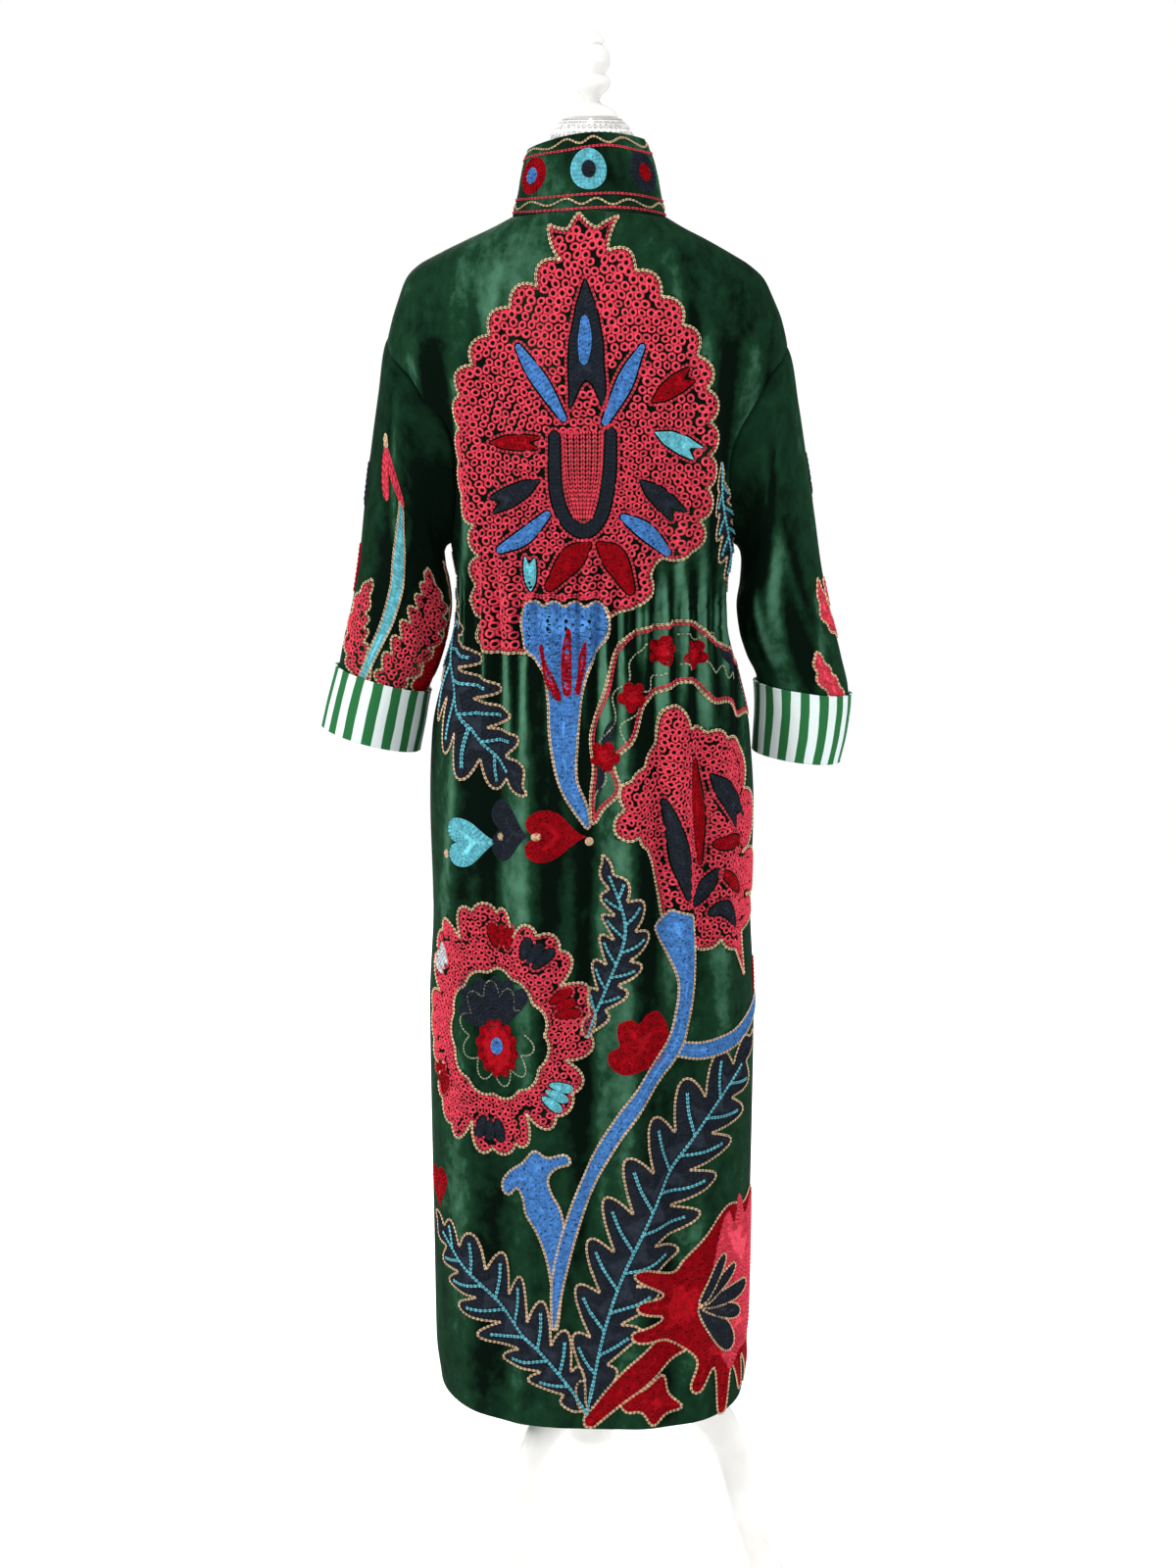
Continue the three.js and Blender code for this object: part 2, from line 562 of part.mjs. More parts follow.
// A turned piece from radii at heights, closed on the axis.
function turned(profile, base, segments) {
  const points = profile.map(([radius, height]) => new THREE.Vector2(radius, height));
  const geometry = new THREE.LatheGeometry(points, segments);
  geometry.rotateX(Math.PI / 2);
  geometry.translate(0, 0, base);
  return geometry;
}

function finialGeometry() {
  const profile = [
    [0, 0], [32.5, 0], [32.5, 3], [27, 8], [18, 11], [8, 14], [7, 18], [12, 24], [18, 30], [18, 36],
    [12, 41], [15, 45], [17.5, 53], [16, 61], [10, 69], [12, 72], [10, 75], [5, 81], [0, 84],
  ];
  return turned(profile, neckTopHeight + seamGap, 20);
}

function hubGeometry() {
  const height = hubTop - hubBottom;
  const profile = [
    [0, 0], [12, 0], [18, 8], [hubRadius, 16], [hubRadius, height - 58], [18, height - 50], [17, height - 34],
    [23, height - 24], [23, height - 14], [18, height - 6], [18, height], [0, height],
  ];
  return turned(profile, hubBottom, 20);
}

function poleGeometry() {
  const height = torsoBottomHeight - hubTop - 2 * seamGap;
  const geometry = new THREE.CylinderGeometry(poleRadius, poleRadius, height, 20);
  geometry.rotateX(Math.PI / 2);
  geometry.translate(0, 0, hubTop + seamGap + height / 2);
  return geometry;
}

// A cabriole leg in the plane of radius and height, arching out from the hub and down to a flat foot.
function legGeometry() {
  const start = hubRadius + seamGap;
  const outline = new THREE.Shape();
  outline.moveTo(start, 250);
  outline.bezierCurveTo(70, 262, 134, 240, 158, 188);
  outline.bezierCurveTo(182, 140, 170, 84, 188, 42);
  outline.bezierCurveTo(195, 26, 206, 20, 212, 12);
  outline.lineTo(212, 0);
  outline.lineTo(170, 0);
  outline.bezierCurveTo(150, 46, 158, 92, 136, 138);
  outline.bezierCurveTo(116, 180, 74, 192, start, 188);
  outline.closePath();
  const settings = { depth: legThickness, bevelEnabled: false, curveSegments: 8 };
  const geometry = new THREE.ExtrudeGeometry(outline, settings);
  geometry.translate(0, 0, -legThickness / 2);
  geometry.rotateX(Math.PI / 2);
  return geometry;
}

// ---- Assembly ----

const finish = (color, roughness) => new THREE.MeshStandardMaterial({ color, roughness, metalness: 0 });
const velvet = finish(0x1f4a2e, 0.75);
const stripedCotton = finish(0xd8e6dc, 0.9);
const formLinen = finish(0xf1efea, 0.9);
const paintedWood = finish(0xf4f2ee, 0.5);

const duster = new THREE.Group();

function addPiece(name, geometry, material, parent = duster) {
  const mesh = new THREE.Mesh(geometry, material);
  mesh.name = name;
  parent.add(mesh);
}

addPiece("back_panel", panelGeometry(panels.backPanel), velvet);
addPiece("left_front", panelGeometry(panels.leftFront), velvet);
addPiece("right_front", panelGeometry(panels.rightFront), velvet);
addPiece("collar", collarGeometry(), velvet);
addPiece("left_sleeve", left.sleeve, velvet);
addPiece("right_sleeve", right.sleeve, velvet);
addPiece("left_cuff", left.cuff, stripedCotton);
addPiece("right_cuff", right.cuff, stripedCotton);
addPiece("form_torso", torsoGeometry(), formLinen);
addPiece("form_finial", finialGeometry(), paintedWood);
addPiece("stand_pole", poleGeometry(), paintedWood);
addPiece("stand_hub", hubGeometry(), paintedWood);
for (let i = 0; i < legCount; i += 1) {
  const leg = new THREE.Group();
  leg.rotation.z = Math.PI + (2 * Math.PI * i) / legCount;
  addPiece(`stand_leg_${i + 1}`, legGeometry(), paintedWood, leg);
  duster.add(leg);
}

export default duster;
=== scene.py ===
import math
import bpy
import numpy as np
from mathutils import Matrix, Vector
from mathutils.geometry import delaunay_2d_cdt
from mathutils.kdtree import KDTree


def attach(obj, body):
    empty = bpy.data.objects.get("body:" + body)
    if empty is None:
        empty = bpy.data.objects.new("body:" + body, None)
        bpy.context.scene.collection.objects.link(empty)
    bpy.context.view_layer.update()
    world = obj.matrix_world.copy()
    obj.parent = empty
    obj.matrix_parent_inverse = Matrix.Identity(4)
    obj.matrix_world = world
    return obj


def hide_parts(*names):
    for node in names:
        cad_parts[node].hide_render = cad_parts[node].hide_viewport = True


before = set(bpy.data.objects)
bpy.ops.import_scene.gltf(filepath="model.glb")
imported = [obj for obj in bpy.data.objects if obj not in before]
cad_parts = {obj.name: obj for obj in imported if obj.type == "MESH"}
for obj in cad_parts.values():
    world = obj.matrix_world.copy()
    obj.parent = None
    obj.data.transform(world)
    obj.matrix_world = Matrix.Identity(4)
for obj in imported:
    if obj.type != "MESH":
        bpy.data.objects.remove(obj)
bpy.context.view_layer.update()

# An ankle-length velvet duster on a dress form. Cloth tables are in millimetres, like the part's own.
# The wearer faces -Y, so the embroidered back is at +Y and the wearer's left is at +X.
mm = 0.001
fullTurn = 2 * math.pi


# Camera, floor and light

studio = {
    "cameraPlace": (0.004, 2.65, 1.43),
    "cameraTilt": 11.72,  # degrees below level
    "lens": 60.75,
    "floorSize": 6,
    "floorGlow": 0.35,
    "ambient": 0.62,
    # each light's place, aim, size and power
    "lights": {
        "keyLight": ((2.6, 1.5, 2.3), (0, 0, 0.9), 1.0, 75),
        "fillLight": ((-2.8, 1.4, 1.5), (0, 0, 0.8), 1.2, 34),
        "topLight": ((0, 1.2, 4.2), (0, 0.4, 0.9), 2.4, 70),
        "frontLight": ((0.8, -2.8, 2.2), (0, 0, 0.9), 1.4, 60),
    },
}


def makeCamera():
    bpy.ops.object.camera_add(location=studio["cameraPlace"])
    camera = bpy.context.object
    camera.name = "camera"
    camera.rotation_euler = (math.radians(90 - studio["cameraTilt"]), 0, math.pi)
    camera.data.lens = studio["lens"]
    camera.data.sensor_width = 36
    bpy.context.scene.camera = camera


def areaLight(name, place, aim, size, power):
    bpy.ops.object.light_add(type="AREA", location=place)
    light = bpy.context.object
    light.name = name
    light.data.shape = "DISK"
    light.data.size = size
    light.data.energy = power
    light.rotation_euler = (Vector(aim) - Vector(place)).to_track_quat("-Z", "Y").to_euler()


def makeStudio():
    scene = bpy.context.scene
    scene.view_settings.view_transform = "Standard"
    world = bpy.data.worlds.new("studio")
    world.use_nodes = True
    nodes, links = world.node_tree.nodes, world.node_tree.links
    background = nodes["Background"]
    background.inputs["Color"].default_value = (1, 1, 1, 1)
    seen = addNode(nodes, "ShaderNodeLightPath").outputs["Is Camera Ray"]
    links.new(remap(nodes, links, seen, 0, 1, studio["ambient"], 1.0), background.inputs["Strength"])
    scene.world = world
    for name, light in studio["lights"].items():
        areaLight(name, *light)
    bpy.ops.object.select_all(action="DESELECT")
    bpy.ops.mesh.primitive_plane_add(size=studio["floorSize"])
    floor = bpy.context.object
    floor.name = "floor"
    paint = plainMaterial("palePaint", (0.93, 0.93, 0.93), 0.7)
    paint.node_tree.nodes["Principled BSDF"].inputs["Emission Color"].default_value = (1, 1, 1, 1)
    paint.node_tree.nodes["Principled BSDF"].inputs["Emission Strength"].default_value = studio["floorGlow"]
    floor.data.materials.append(paint)


# Materials

def newMaterial(name):
    material = bpy.data.materials.new(name)
    material.use_nodes = True
    nodes = material.node_tree.nodes
    return material, nodes, material.node_tree.links, nodes["Principled BSDF"]


def addNode(nodes, kind, **values):
    node = nodes.new(kind)
    for name, value in values.items():
        if name in node.inputs:
            node.inputs[name].default_value = value
        else:
            setattr(node, name, value)
    return node


def mixColours(nodes, links, share, first, second):
    mix = addNode(nodes, "ShaderNodeMix", data_type="RGBA")
    links.new(share, mix.inputs["Factor"])
    for socket, value in ((mix.inputs[6], first), (mix.inputs[7], second)):
        if isinstance(value, tuple):
            socket.default_value = (*value, 1)
        else:
            links.new(value, socket)
    return mix.outputs[2]


def remap(nodes, links, value, low, high, toLow=0.0, toHigh=1.0):
    node = addNode(nodes, "ShaderNodeMapRange")
    for name, number in (("From Min", low), ("From Max", high), ("To Min", toLow), ("To Max", toHigh)):
        node.inputs[name].default_value = number
    links.new(value, node.inputs["Value"])
    return node.outputs["Result"]


def scaledUv(nodes, links, scale, turn=0.0):
    place = addNode(nodes, "ShaderNodeTexCoord")
    mapping = addNode(nodes, "ShaderNodeMapping")
    mapping.inputs["Scale"].default_value = scale
    mapping.inputs["Rotation"].default_value = (0, 0, turn)
    links.new(place.outputs["UV"], mapping.inputs["Vector"])
    return mapping.outputs["Vector"]


def noise(nodes, links, vector, scale, detail=2.0, rough=0.5):
    node = addNode(nodes, "ShaderNodeTexNoise", Scale=scale, Detail=detail, Roughness=rough)
    links.new(vector, node.inputs["Vector"])
    return node.outputs["Fac"]


def addBump(nodes, links, shader, height, distance, strength=1.0):
    bump = addNode(nodes, "ShaderNodeBump", Strength=strength, Distance=distance)
    links.new(height, bump.inputs["Height"])
    links.new(bump.outputs["Normal"], shader.inputs["Normal"])


def plainMaterial(name, colour, roughness):
    material, nodes, links, shader = newMaterial(name)
    shader.inputs["Base Color"].default_value = (*colour, 1)
    shader.inputs["Roughness"].default_value = roughness
    return material


velvet = {
    "deep": (0.0010, 0.0042, 0.0022),
    "middle": (0.0068, 0.0330, 0.0145),
    "highlightAndBrushed": (0.058, 0.158, 0.098),
    "sheenTint": (0.32, 0.62, 0.45),
    "sheen": 0.02,
    "pileScale": 900,
    # each pattern in the pile: scale of the UV, detail, roughness and how far it shifts the shade
    "patterns": (((8, 5, 1), 3, 0.6, 0.10), ((30, 14, 1), 4, 0.6, 0.10), ((80, 60, 1), 3, 0.65, 0.12)),
}


def velvetMaterial():
    # pile brushed up in patches and streaks, over a deep bottle green
    material, nodes, links, shader = newMaterial("bottleGreenVelvet")
    pile = noise(nodes, links, scaledUv(nodes, links, (1, 1, 1)), velvet["pileScale"], 1)
    # painted light from the pieces' attribute: 0 is painted shade in a hollow, 0.5 flat cloth and 1 a
    # painted highlight on a ridge
    nap = addNode(nodes, "ShaderNodeAttribute", attribute_name="nap").outputs["Fac"]
    total = nap
    for scale, detail, rough, shift in velvet["patterns"]:
        pattern = noise(nodes, links, scaledUv(nodes, links, scale), 1.0, detail, rough)
        part = remap(nodes, links, pattern, 0.33, 0.67, -shift, shift)
        add = addNode(nodes, "ShaderNodeMath", operation="ADD")
        links.new(total, add.inputs[0])
        links.new(part, add.inputs[1])
        total = add.outputs[0]
    lighter = remap(nodes, links, total, 0.08, 0.58)
    base = mixColours(nodes, links, lighter, velvet["deep"], velvet["middle"])
    # the palest green is the painted highlight, also reached by lighter random patches of pile
    colour = mixColours(nodes, links, remap(nodes, links, total, 0.52, 1.08), base, velvet["highlightAndBrushed"])
    links.new(colour, shader.inputs["Base Color"])
    shader.inputs["Roughness"].default_value = 0.9
    shader.inputs["Specular IOR Level"].default_value = 0.02
    shader.inputs["Sheen Weight"].default_value = velvet["sheen"]
    shader.inputs["Sheen Roughness"].default_value = 0.32
    shader.inputs["Sheen Tint"].default_value = (*velvet["sheenTint"], 1)
    addBump(nodes, links, shader, pile, 0.00025, 0.5)
    return material


lining = {
    "stripePitch": 0.01875,  # one green and one white stripe, in metres
    "green": (0.012, 0.115, 0.032),
    "white": (0.60, 0.68, 0.67),
    "washed": (0.50, 0.60, 0.60),
    "threads": 1500,
}


def liningMaterial():
    # plain-woven cotton with even stripes along the piece
    material, nodes, links, shader = newMaterial("stripedCotton")
    uv = scaledUv(nodes, links, (1 / lining["stripePitch"], 0, 0))
    split = addNode(nodes, "ShaderNodeSeparateXYZ")
    links.new(uv, split.inputs[0])
    wander = noise(nodes, links, scaledUv(nodes, links, (60, 25, 1)), 1.0, 2)
    shifted = addNode(nodes, "ShaderNodeMath", operation="MULTIPLY_ADD")
    links.new(wander, shifted.inputs[0])
    shifted.inputs[1].default_value = 0.12
    links.new(split.outputs["X"], shifted.inputs[2])
    part = addNode(nodes, "ShaderNodeMath", operation="FRACT")
    links.new(shifted.outputs[0], part.inputs[0])
    wave = addNode(nodes, "ShaderNodeMath", operation="PINGPONG")
    links.new(part.outputs[0], wave.inputs[0])
    wave.inputs[1].default_value = 0.5
    share = remap(nodes, links, wave.outputs[0], 0.24, 0.26)
    faded = noise(nodes, links, scaledUv(nodes, links, (9, 9, 1)), 1.0, 3)
    tone = remap(nodes, links, faded, 0.3, 0.7, 0.0, 0.3)
    white = mixColours(nodes, links, tone, lining["white"], lining["washed"])
    links.new(mixColours(nodes, links, share, lining["green"], white), shader.inputs["Base Color"])
    shader.inputs["Roughness"].default_value = 0.9
    shader.inputs["Specular IOR Level"].default_value = 0.2
    weave = addNode(nodes, "ShaderNodeTexChecker", Scale=lining["threads"])
    links.new(scaledUv(nodes, links, (1, 1, 1)), weave.inputs["Vector"])
    addBump(nodes, links, shader, weave.outputs["Fac"], 0.00015, 0.5)
    return material


yarnColours = {
    "pink": (0.80, 0.062, 0.105),
    "red": (0.37, 0.000, 0.006),
    "blue": (0.085, 0.275, 0.66),
    "turquoise": (0.17, 0.60, 0.70),
    "navy": (0.018, 0.024, 0.036),
    "tan": (0.84, 0.58, 0.36),
    "white": (0.70, 0.74, 0.76),
    "paleGreen": (0.46, 0.52, 0.34),
    "lace": (0.88, 0.875, 0.85),
    "cord": (0.42, 0.39, 0.35),
}


def yarnMaterial(name, colour, fleck=0.0):
    # worked yarn: rows of loops as relief, with painted shade between the loops and flecks of the cloth
    # showing between them
    material, nodes, links, shader = newMaterial(name)
    uv = scaledUv(nodes, links, (1, 1, 1))
    loops = addNode(nodes, "ShaderNodeTexVoronoi", Scale=430, feature="F1")
    links.new(uv, loops.inputs["Vector"])
    ply = noise(nodes, links, uv, 900, 2)
    tone = remap(nodes, links, noise(nodes, links, uv, 160, 3), 0.3, 0.75)
    shade = tuple(0.55 * part for part in colour)
    bright = tuple(min(1, 1.25 * part) for part in colour)
    base = mixColours(nodes, links, tone, shade, bright)
    # painted shade in the crevices between the loops of the relief
    creviceShade = remap(nodes, links, loops.outputs["Distance"], 0.30, 0.72)
    base = mixColours(nodes, links, remap(nodes, links, creviceShade, 0.0, 1.0, 0.0, 0.55), base, shade)
    if fleck > 0:
        spots = noise(nodes, links, uv, 330, 1, 0.3)
        share = remap(nodes, links, spots, 0.70 - fleck, 0.74 - fleck)
        base = mixColours(nodes, links, share, base, tuple(0.22 * part for part in colour))
    links.new(base, shader.inputs["Base Color"])
    shader.inputs["Roughness"].default_value = 0.8
    shader.inputs["Specular IOR Level"].default_value = 0.08
    height = addNode(nodes, "ShaderNodeMath", operation="MULTIPLY_ADD")
    links.new(loops.outputs["Distance"], height.inputs[0])
    height.inputs[1].default_value = -1.0
    links.new(ply, height.inputs[2])
    addBump(nodes, links, shader, height.outputs[0], 0.0007, 0.8)
    return material


whites = {
    "jersey": (0.84, 0.83, 0.81),
    "jerseyShade": (0.74, 0.73, 0.71),
    "paint": (0.74, 0.735, 0.72),
    "agedPaint": (0.66, 0.64, 0.61),
}


def coverMaterial():
    # fine jersey stretched over the padding
    material, nodes, links, shader = newMaterial("whiteJersey")
    uv = scaledUv(nodes, links, (1, 1, 1))
    tone = remap(nodes, links, noise(nodes, links, uv, 14, 3), 0.3, 0.7)
    white = mixColours(nodes, links, tone, whites["jerseyShade"], whites["jersey"])
    links.new(white, shader.inputs["Base Color"])
    shader.inputs["Roughness"].default_value = 0.9
    knit = addNode(nodes, "ShaderNodeTexWave", Scale=700, Distortion=1.5)
    links.new(uv, knit.inputs["Vector"])
    addBump(nodes, links, shader, knit.outputs["Fac"], 0.0002, 0.4)
    return material


def paintMaterial():
    # satin paint with brush marks and slight yellowing
    material, nodes, links, shader = newMaterial("whiteSatinPaint")
    place = addNode(nodes, "ShaderNodeTexCoord").outputs["Object"]
    marks = addNode(nodes, "ShaderNodeMapping")
    marks.inputs["Scale"].default_value = (260, 260, 18)
    links.new(place, marks.inputs["Vector"])
    brush = noise(nodes, links, marks.outputs["Vector"], 1.0, 2)
    age = remap(nodes, links, noise(nodes, links, place, 22, 3), 0.35, 0.75)
    white = mixColours(nodes, links, age, whites["paint"], whites["agedPaint"])
    links.new(white, shader.inputs["Base Color"])
    links.new(remap(nodes, links, brush, 0.2, 0.8, 0.30, 0.46), shader.inputs["Roughness"])
    addBump(nodes, links, shader, brush, 0.0002, 0.5)
    return material


# Rings, folds and surfaces of the coat

def columns(names, rows):
    return dict(zip(names.split(), np.array(rows, float).T))


coatRings = columns("z halfWidth back front square liftBack liftFront shift tilt", [
    (244, 160, 136, 128, 2.80, -9, -6, 0, 6),
    (290, 165, 137, 129, 2.70, -5, -4, 0, 3),
    (400, 166, 138, 130, 2.60, 0, 0, 0, 0),
    (650, 168, 139, 132, 2.50, 0, 0, 0, 0),
    (760, 163, 138, 132, 2.50, 0, 0, 0, 0),
    (860, 165, 139, 133, 2.40, 0, 0, 0, 0),
    (940, 161, 128, 130, 2.40, 0, 0, 1, 0),
    (1000, 148, 108, 124, 2.40, 0, 0, 1, 0),
    (1050, 136, 94, 118, 2.30, 0, 0, 0, 0),
    (1085, 135, 93, 118, 2.30, 0, 0, 0, 0),
    (1125, 141, 100, 125, 2.30, 0, 0, 0, 0),
    (1180, 150, 109, 134, 2.30, 0, 0, 0, 0),
    (1230, 159, 114, 136, 2.30, 0, 0, 0, 0),
    (1280, 176, 115, 128, 2.30, 0, 0, 2, 0),
    (1318, 198, 111, 116, 2.30, 0, 0, 5, 0),
    (1345, 193, 104, 105, 2.20, 0, -2, 5, 0),
    (1370, 184, 97, 97, 2.20, 0, -5, 6, 0),
    (1388, 176, 90, 91, 2.10, 1, -10, 7, 0),
    (1401, 163, 85, 86, 2.10, 2, -17, 8, 0),
    (1412, 144, 79, 81, 2.10, 3, -25, 7, 0),
    (1427, 115, 72, 75, 2.05, 4, -37, 5, 0),
    (1437, 94, 67, 70, 2.00, 5, -46, 4, 0),
    (1447, 76, 62, 66, 2.00, 5, -55, 3, 0),
])
collarRings = columns("z halfWidth back front square liftBack liftFront shift tilt", [
    (1448, 75, 61, 65, 2, 5, -55, 3, 0),
    (1470, 70, 58, 62, 2, 6, -54, 3, -1),
    (1498, 64, 55, 58, 2, 8, -50, 4, -3),
    (1516, 57, 51, 54, 2, 10, -46, 6, -5),
])

# soft folds from a top point to a bottom point: a ridge is positive, a trough negative
foldColumns = "xTop zTop xBottom zBottom halfWidth depth"
backFolds = columns(foldColumns, [
    (170, 1345, 148, 1150, 10, 4),
    (148, 1335, 132, 1110, 10, -5),
    (124, 1310, 112, 1100, 11, 4),
    (-116, 1340, -106, 1110, 11, 4),
    (-140, 1335, -126, 1110, 10, -5),
    (-166, 1340, -146, 1150, 10, 4),
    (118, 1050, 140, 740, 11, 6),
    (92, 1050, 100, 640, 13, -6),
    (60, 1050, 57, 540, 14, 7),
    (29, 1050, 32, 620, 13, -4),
    (0, 1050, 2, 400, 14, -8),
    (-33, 1050, -43, 470, 14, 7),
    (-60, 1050, -68, 660, 11, -6),
    (-80, 1050, -90, 660, 12, 5.5),
    (-100, 1050, -112, 700, 12, -4.5),
    (-118, 1045, -140, 620, 11, 5),
    (-78, 620, -84, 235, 14, -6),
    (-48, 520, -50, 235, 16, 4),
    (84, 560, 96, 235, 17, -5),
    (128, 700, 122, 235, 15, 4),
    # finer creases
    (46, 1052, 47, 880, 5, -2.2),
    (75, 1052, 79, 900, 5, 2.4),
    (16, 1052, 17, 900, 5, 2.2),
    (-16, 1052, -20, 910, 5, 2.4),
    (-47, 1052, -55, 890, 5, -2.4),
    (-90, 1052, -104, 900, 4, 2.2),
    (108, 1052, 118, 930, 5, -2.2),
    (96, 1180, 84, 1062, 6, 2.4),
    (68, 1170, 64, 1066, 5, -1.8),
    (34, 1160, 32, 1066, 5, 1.8),
    (-12, 1160, -12, 1066, 5, -1.6),
    (-44, 1165, -42, 1066, 5, 1.8),
    (-76, 1190, -70, 1062, 6, -2.2),
    (-92, 1210, -84, 1062, 5, 2.4),
    (110, 1390, 104, 1250, 8, -1.6),
    (-104, 1395, -98, 1240, 8, -1.6),
    (84, 1410, 96, 1330, 7, 1.4),
    (-80, 1412, -92, 1330, 7, 1.2),
    (60, 420, 74, 240, 9, 2.0),
    (20, 430, 14, 240, 12, -2.4),
    (-112, 520, -116, 240, 10, 2.2),
])
frontFolds = columns(foldColumns, [
    (112, 1320, 100, 1060, 14, -5),
    (66, 1240, 62, 700, 18, 5),
    (116, 1080, 128, 480, 15, 6),
    (92, 1020, 96, 300, 14, -6),
    (34, 900, 40, 235, 14, -5),
    (-112, 1320, -98, 1060, 14, -5),
    (-62, 1250, -56, 640, 18, 5),
    (-112, 1070, -124, 420, 16, 6),
    (-88, 1000, -90, 260, 14, -6),
    (-32, 860, -36, 235, 14, -5),
    # finer creases
    (78, 1000, 80, 640, 7, 2.2),
    (-74, 980, -76, 560, 7, 2.2),
    (52, 1330, 58, 1180, 9, -2.0),
    (-54, 1330, -60, 1190, 9, -2.0),
    (60, 560, 64, 240, 9, 2.2),
    (-62, 520, -60, 240, 9, 2.2),
])

body = {
    "neck": 1447,
    "hem": 244,
    "waist": 1060,
    "casingTop": 1072,
    "casingBottom": 1047,
    "gatherPitch": 20,
    "gatherDepth": 4.8,
    "gatherReach": (60, 95),  # above and below the waist
    "foldScale": 1.3,
    "puckerPitch": 8.5,
    "puckerDepth": 1.7,
    "puckerReach": (26, 38),
    "grooveDepth": 1.1,
    "frontGapTop": 5,
    "frontGapHem": 13,
    "seamHalfGap": 0.2,
    "cloth": 2.2,
    "foldFade": 0.32,  # sine of the angle from the side seam where folds reach their full depth
    "backColumns": 184,
    "backStep": 6.2,
    "frontColumns": 52,
    "frontStep": 9,
}


def readTable(table, column, at, key="z"):
    # cubics through a column that don't overshoot
    places = table[key]
    values = table[column]
    at = np.clip(np.asarray(at, float), places[0], places[-1])
    slopes = np.diff(values) / np.diff(places)
    before, after = slopes[:-1], slopes[1:]
    together = before * after > 0
    total = np.where(together, before + after, 1)
    inner = np.where(together, 2 * before * after / total, 0)
    tangents = np.concatenate([slopes[:1], inner, slopes[-1:]])
    index = np.clip(np.searchsorted(places, at, side="right") - 1, 0, len(places) - 2)
    width = places[index + 1] - places[index]
    t = (at - places[index]) / width
    return (values[index] * (1 + 2 * t) * (1 - t) ** 2 + tangents[index] * width * t * (1 - t) ** 2
            + values[index + 1] * t * t * (3 - 2 * t) + tangents[index + 1] * width * t * t * (t - 1))


def signedPower(value, power):
    return np.sign(value) * np.abs(value) ** power


def runLengths(points):
    # the length run up to each point, or up to each row of a grid on average
    steps = np.linalg.norm(np.diff(points, axis=0), axis=-1)
    return np.concatenate([[0], np.cumsum(steps if steps.ndim == 1 else steps.mean(axis=1))])


def unitCross(first, second):
    normal = np.cross(first, second)
    return normal / np.maximum(np.linalg.norm(normal, axis=-1, keepdims=True), 1e-9)


def uvGrid(u, v):
    return np.stack(np.broadcast_arrays(u[None, :], v[:, None]), -1)


def ringPoint(table, height, angle):
    # angle 0 is the left side seam, a quarter turn is the centre back
    height, angle = np.broadcast_arrays(np.asarray(height, float), np.asarray(angle, float))
    value = {name: readTable(table, name, height) for name in table if name != "z"}
    power = 2 / value["square"]
    cosine, sine = np.cos(angle), np.sin(angle)
    isBack = sine >= 0
    x = value["shift"] + value["halfWidth"] * signedPower(cosine, power)
    y = np.where(isBack, value["back"], value["front"]) * signedPower(sine, power)
    lift = np.where(isBack, value["liftBack"], value["liftFront"])
    z = height + lift * sine ** 2 + value["tilt"] * cosine
    return np.stack([x, y, z], -1)


def foldDepth(folds, x, height):
    total = np.zeros_like(x)
    for xTop, zTop, xBottom, zBottom, halfWidth, depth in zip(*folds.values()):
        t = np.clip((zTop - height) / (zTop - zBottom), 0, 1)
        across = (x - (xTop + (xBottom - xTop) * t)) / halfWidth
        total += depth * np.sin(math.pi * t) ** 0.6 * np.exp(-across * across)
    return total


def gatherOffset(x, height):
    above = height > body["waist"]
    strength = np.exp(-((height - body["waist"]) / np.where(above, *body["gatherReach"])) ** 2)
    uneven = 0.78 + 0.22 * np.sin(x / 13 + 1)
    wave = np.sin(fullTurn * x / body["gatherPitch"] + 0.9 * np.sin(x / 41))
    near = np.exp(-((height - body["waist"]) / np.where(above, *body["puckerReach"])) ** 2)
    pucker = body["puckerDepth"] * near * np.sin(fullTurn * x / body["puckerPitch"] + 1.7 * np.sin(x / 23))
    seams = (body["casingTop"], body["casingBottom"])
    grooves = sum(np.exp(-((height - seam) / 2.0) ** 2) for seam in seams)
    return body["gatherDepth"] * strength * uneven * wave + pucker - body["grooveDepth"] * grooves


def bodyOffset(isBack, x, height):
    backOffset = body["foldScale"] * foldDepth(backFolds, x, height) + gatherOffset(x, height)
    return np.where(isBack, backOffset, body["foldScale"] * foldDepth(frontFolds, x, height))


# painted light and shade for the body's cloth: darker hollows, waist, skirt and underarms, lighter ridges
bodyLightPaint = {
    "flat": 0.44,  # 0 is a shaded hollow, 1 a lit ridge
    "skirt": -0.06,
    "skirtTop": 980,
    "skirtFade": 120,
    "gathered": -0.24,
    "gatheredMiddle": 1020,
    "gatheredReach": 95,
    "ridge": 0.060,  # for each millimetre of relief
    "ridgeSkirt": -0.038,
    "slope": 0.9,
    "slopeSkirt": -0.32,
    # painted shade under the arms and on the right shoulder, a painted highlight on the left shoulder
    "underArm": -0.50,
    "leftShoulder": 0.22,
    "rightShoulder": -0.12,
    # middle and reach of each soft patch, across and up
    "underArmPatch": (154, 1190, 30, 120),
    "leftShoulderPatch": (75, 1380, 60, 55),
    "rightShoulderPatch": (-110, 1370, 50, 60),
}


def patch(x, height, middleX, middleZ, reachX, reachZ):
    # 1 at the middle of a soft patch, fading to 0 round it
    return np.exp(-((x - middleX) / reachX) ** 2 - ((height - middleZ) / reachZ) ** 2)


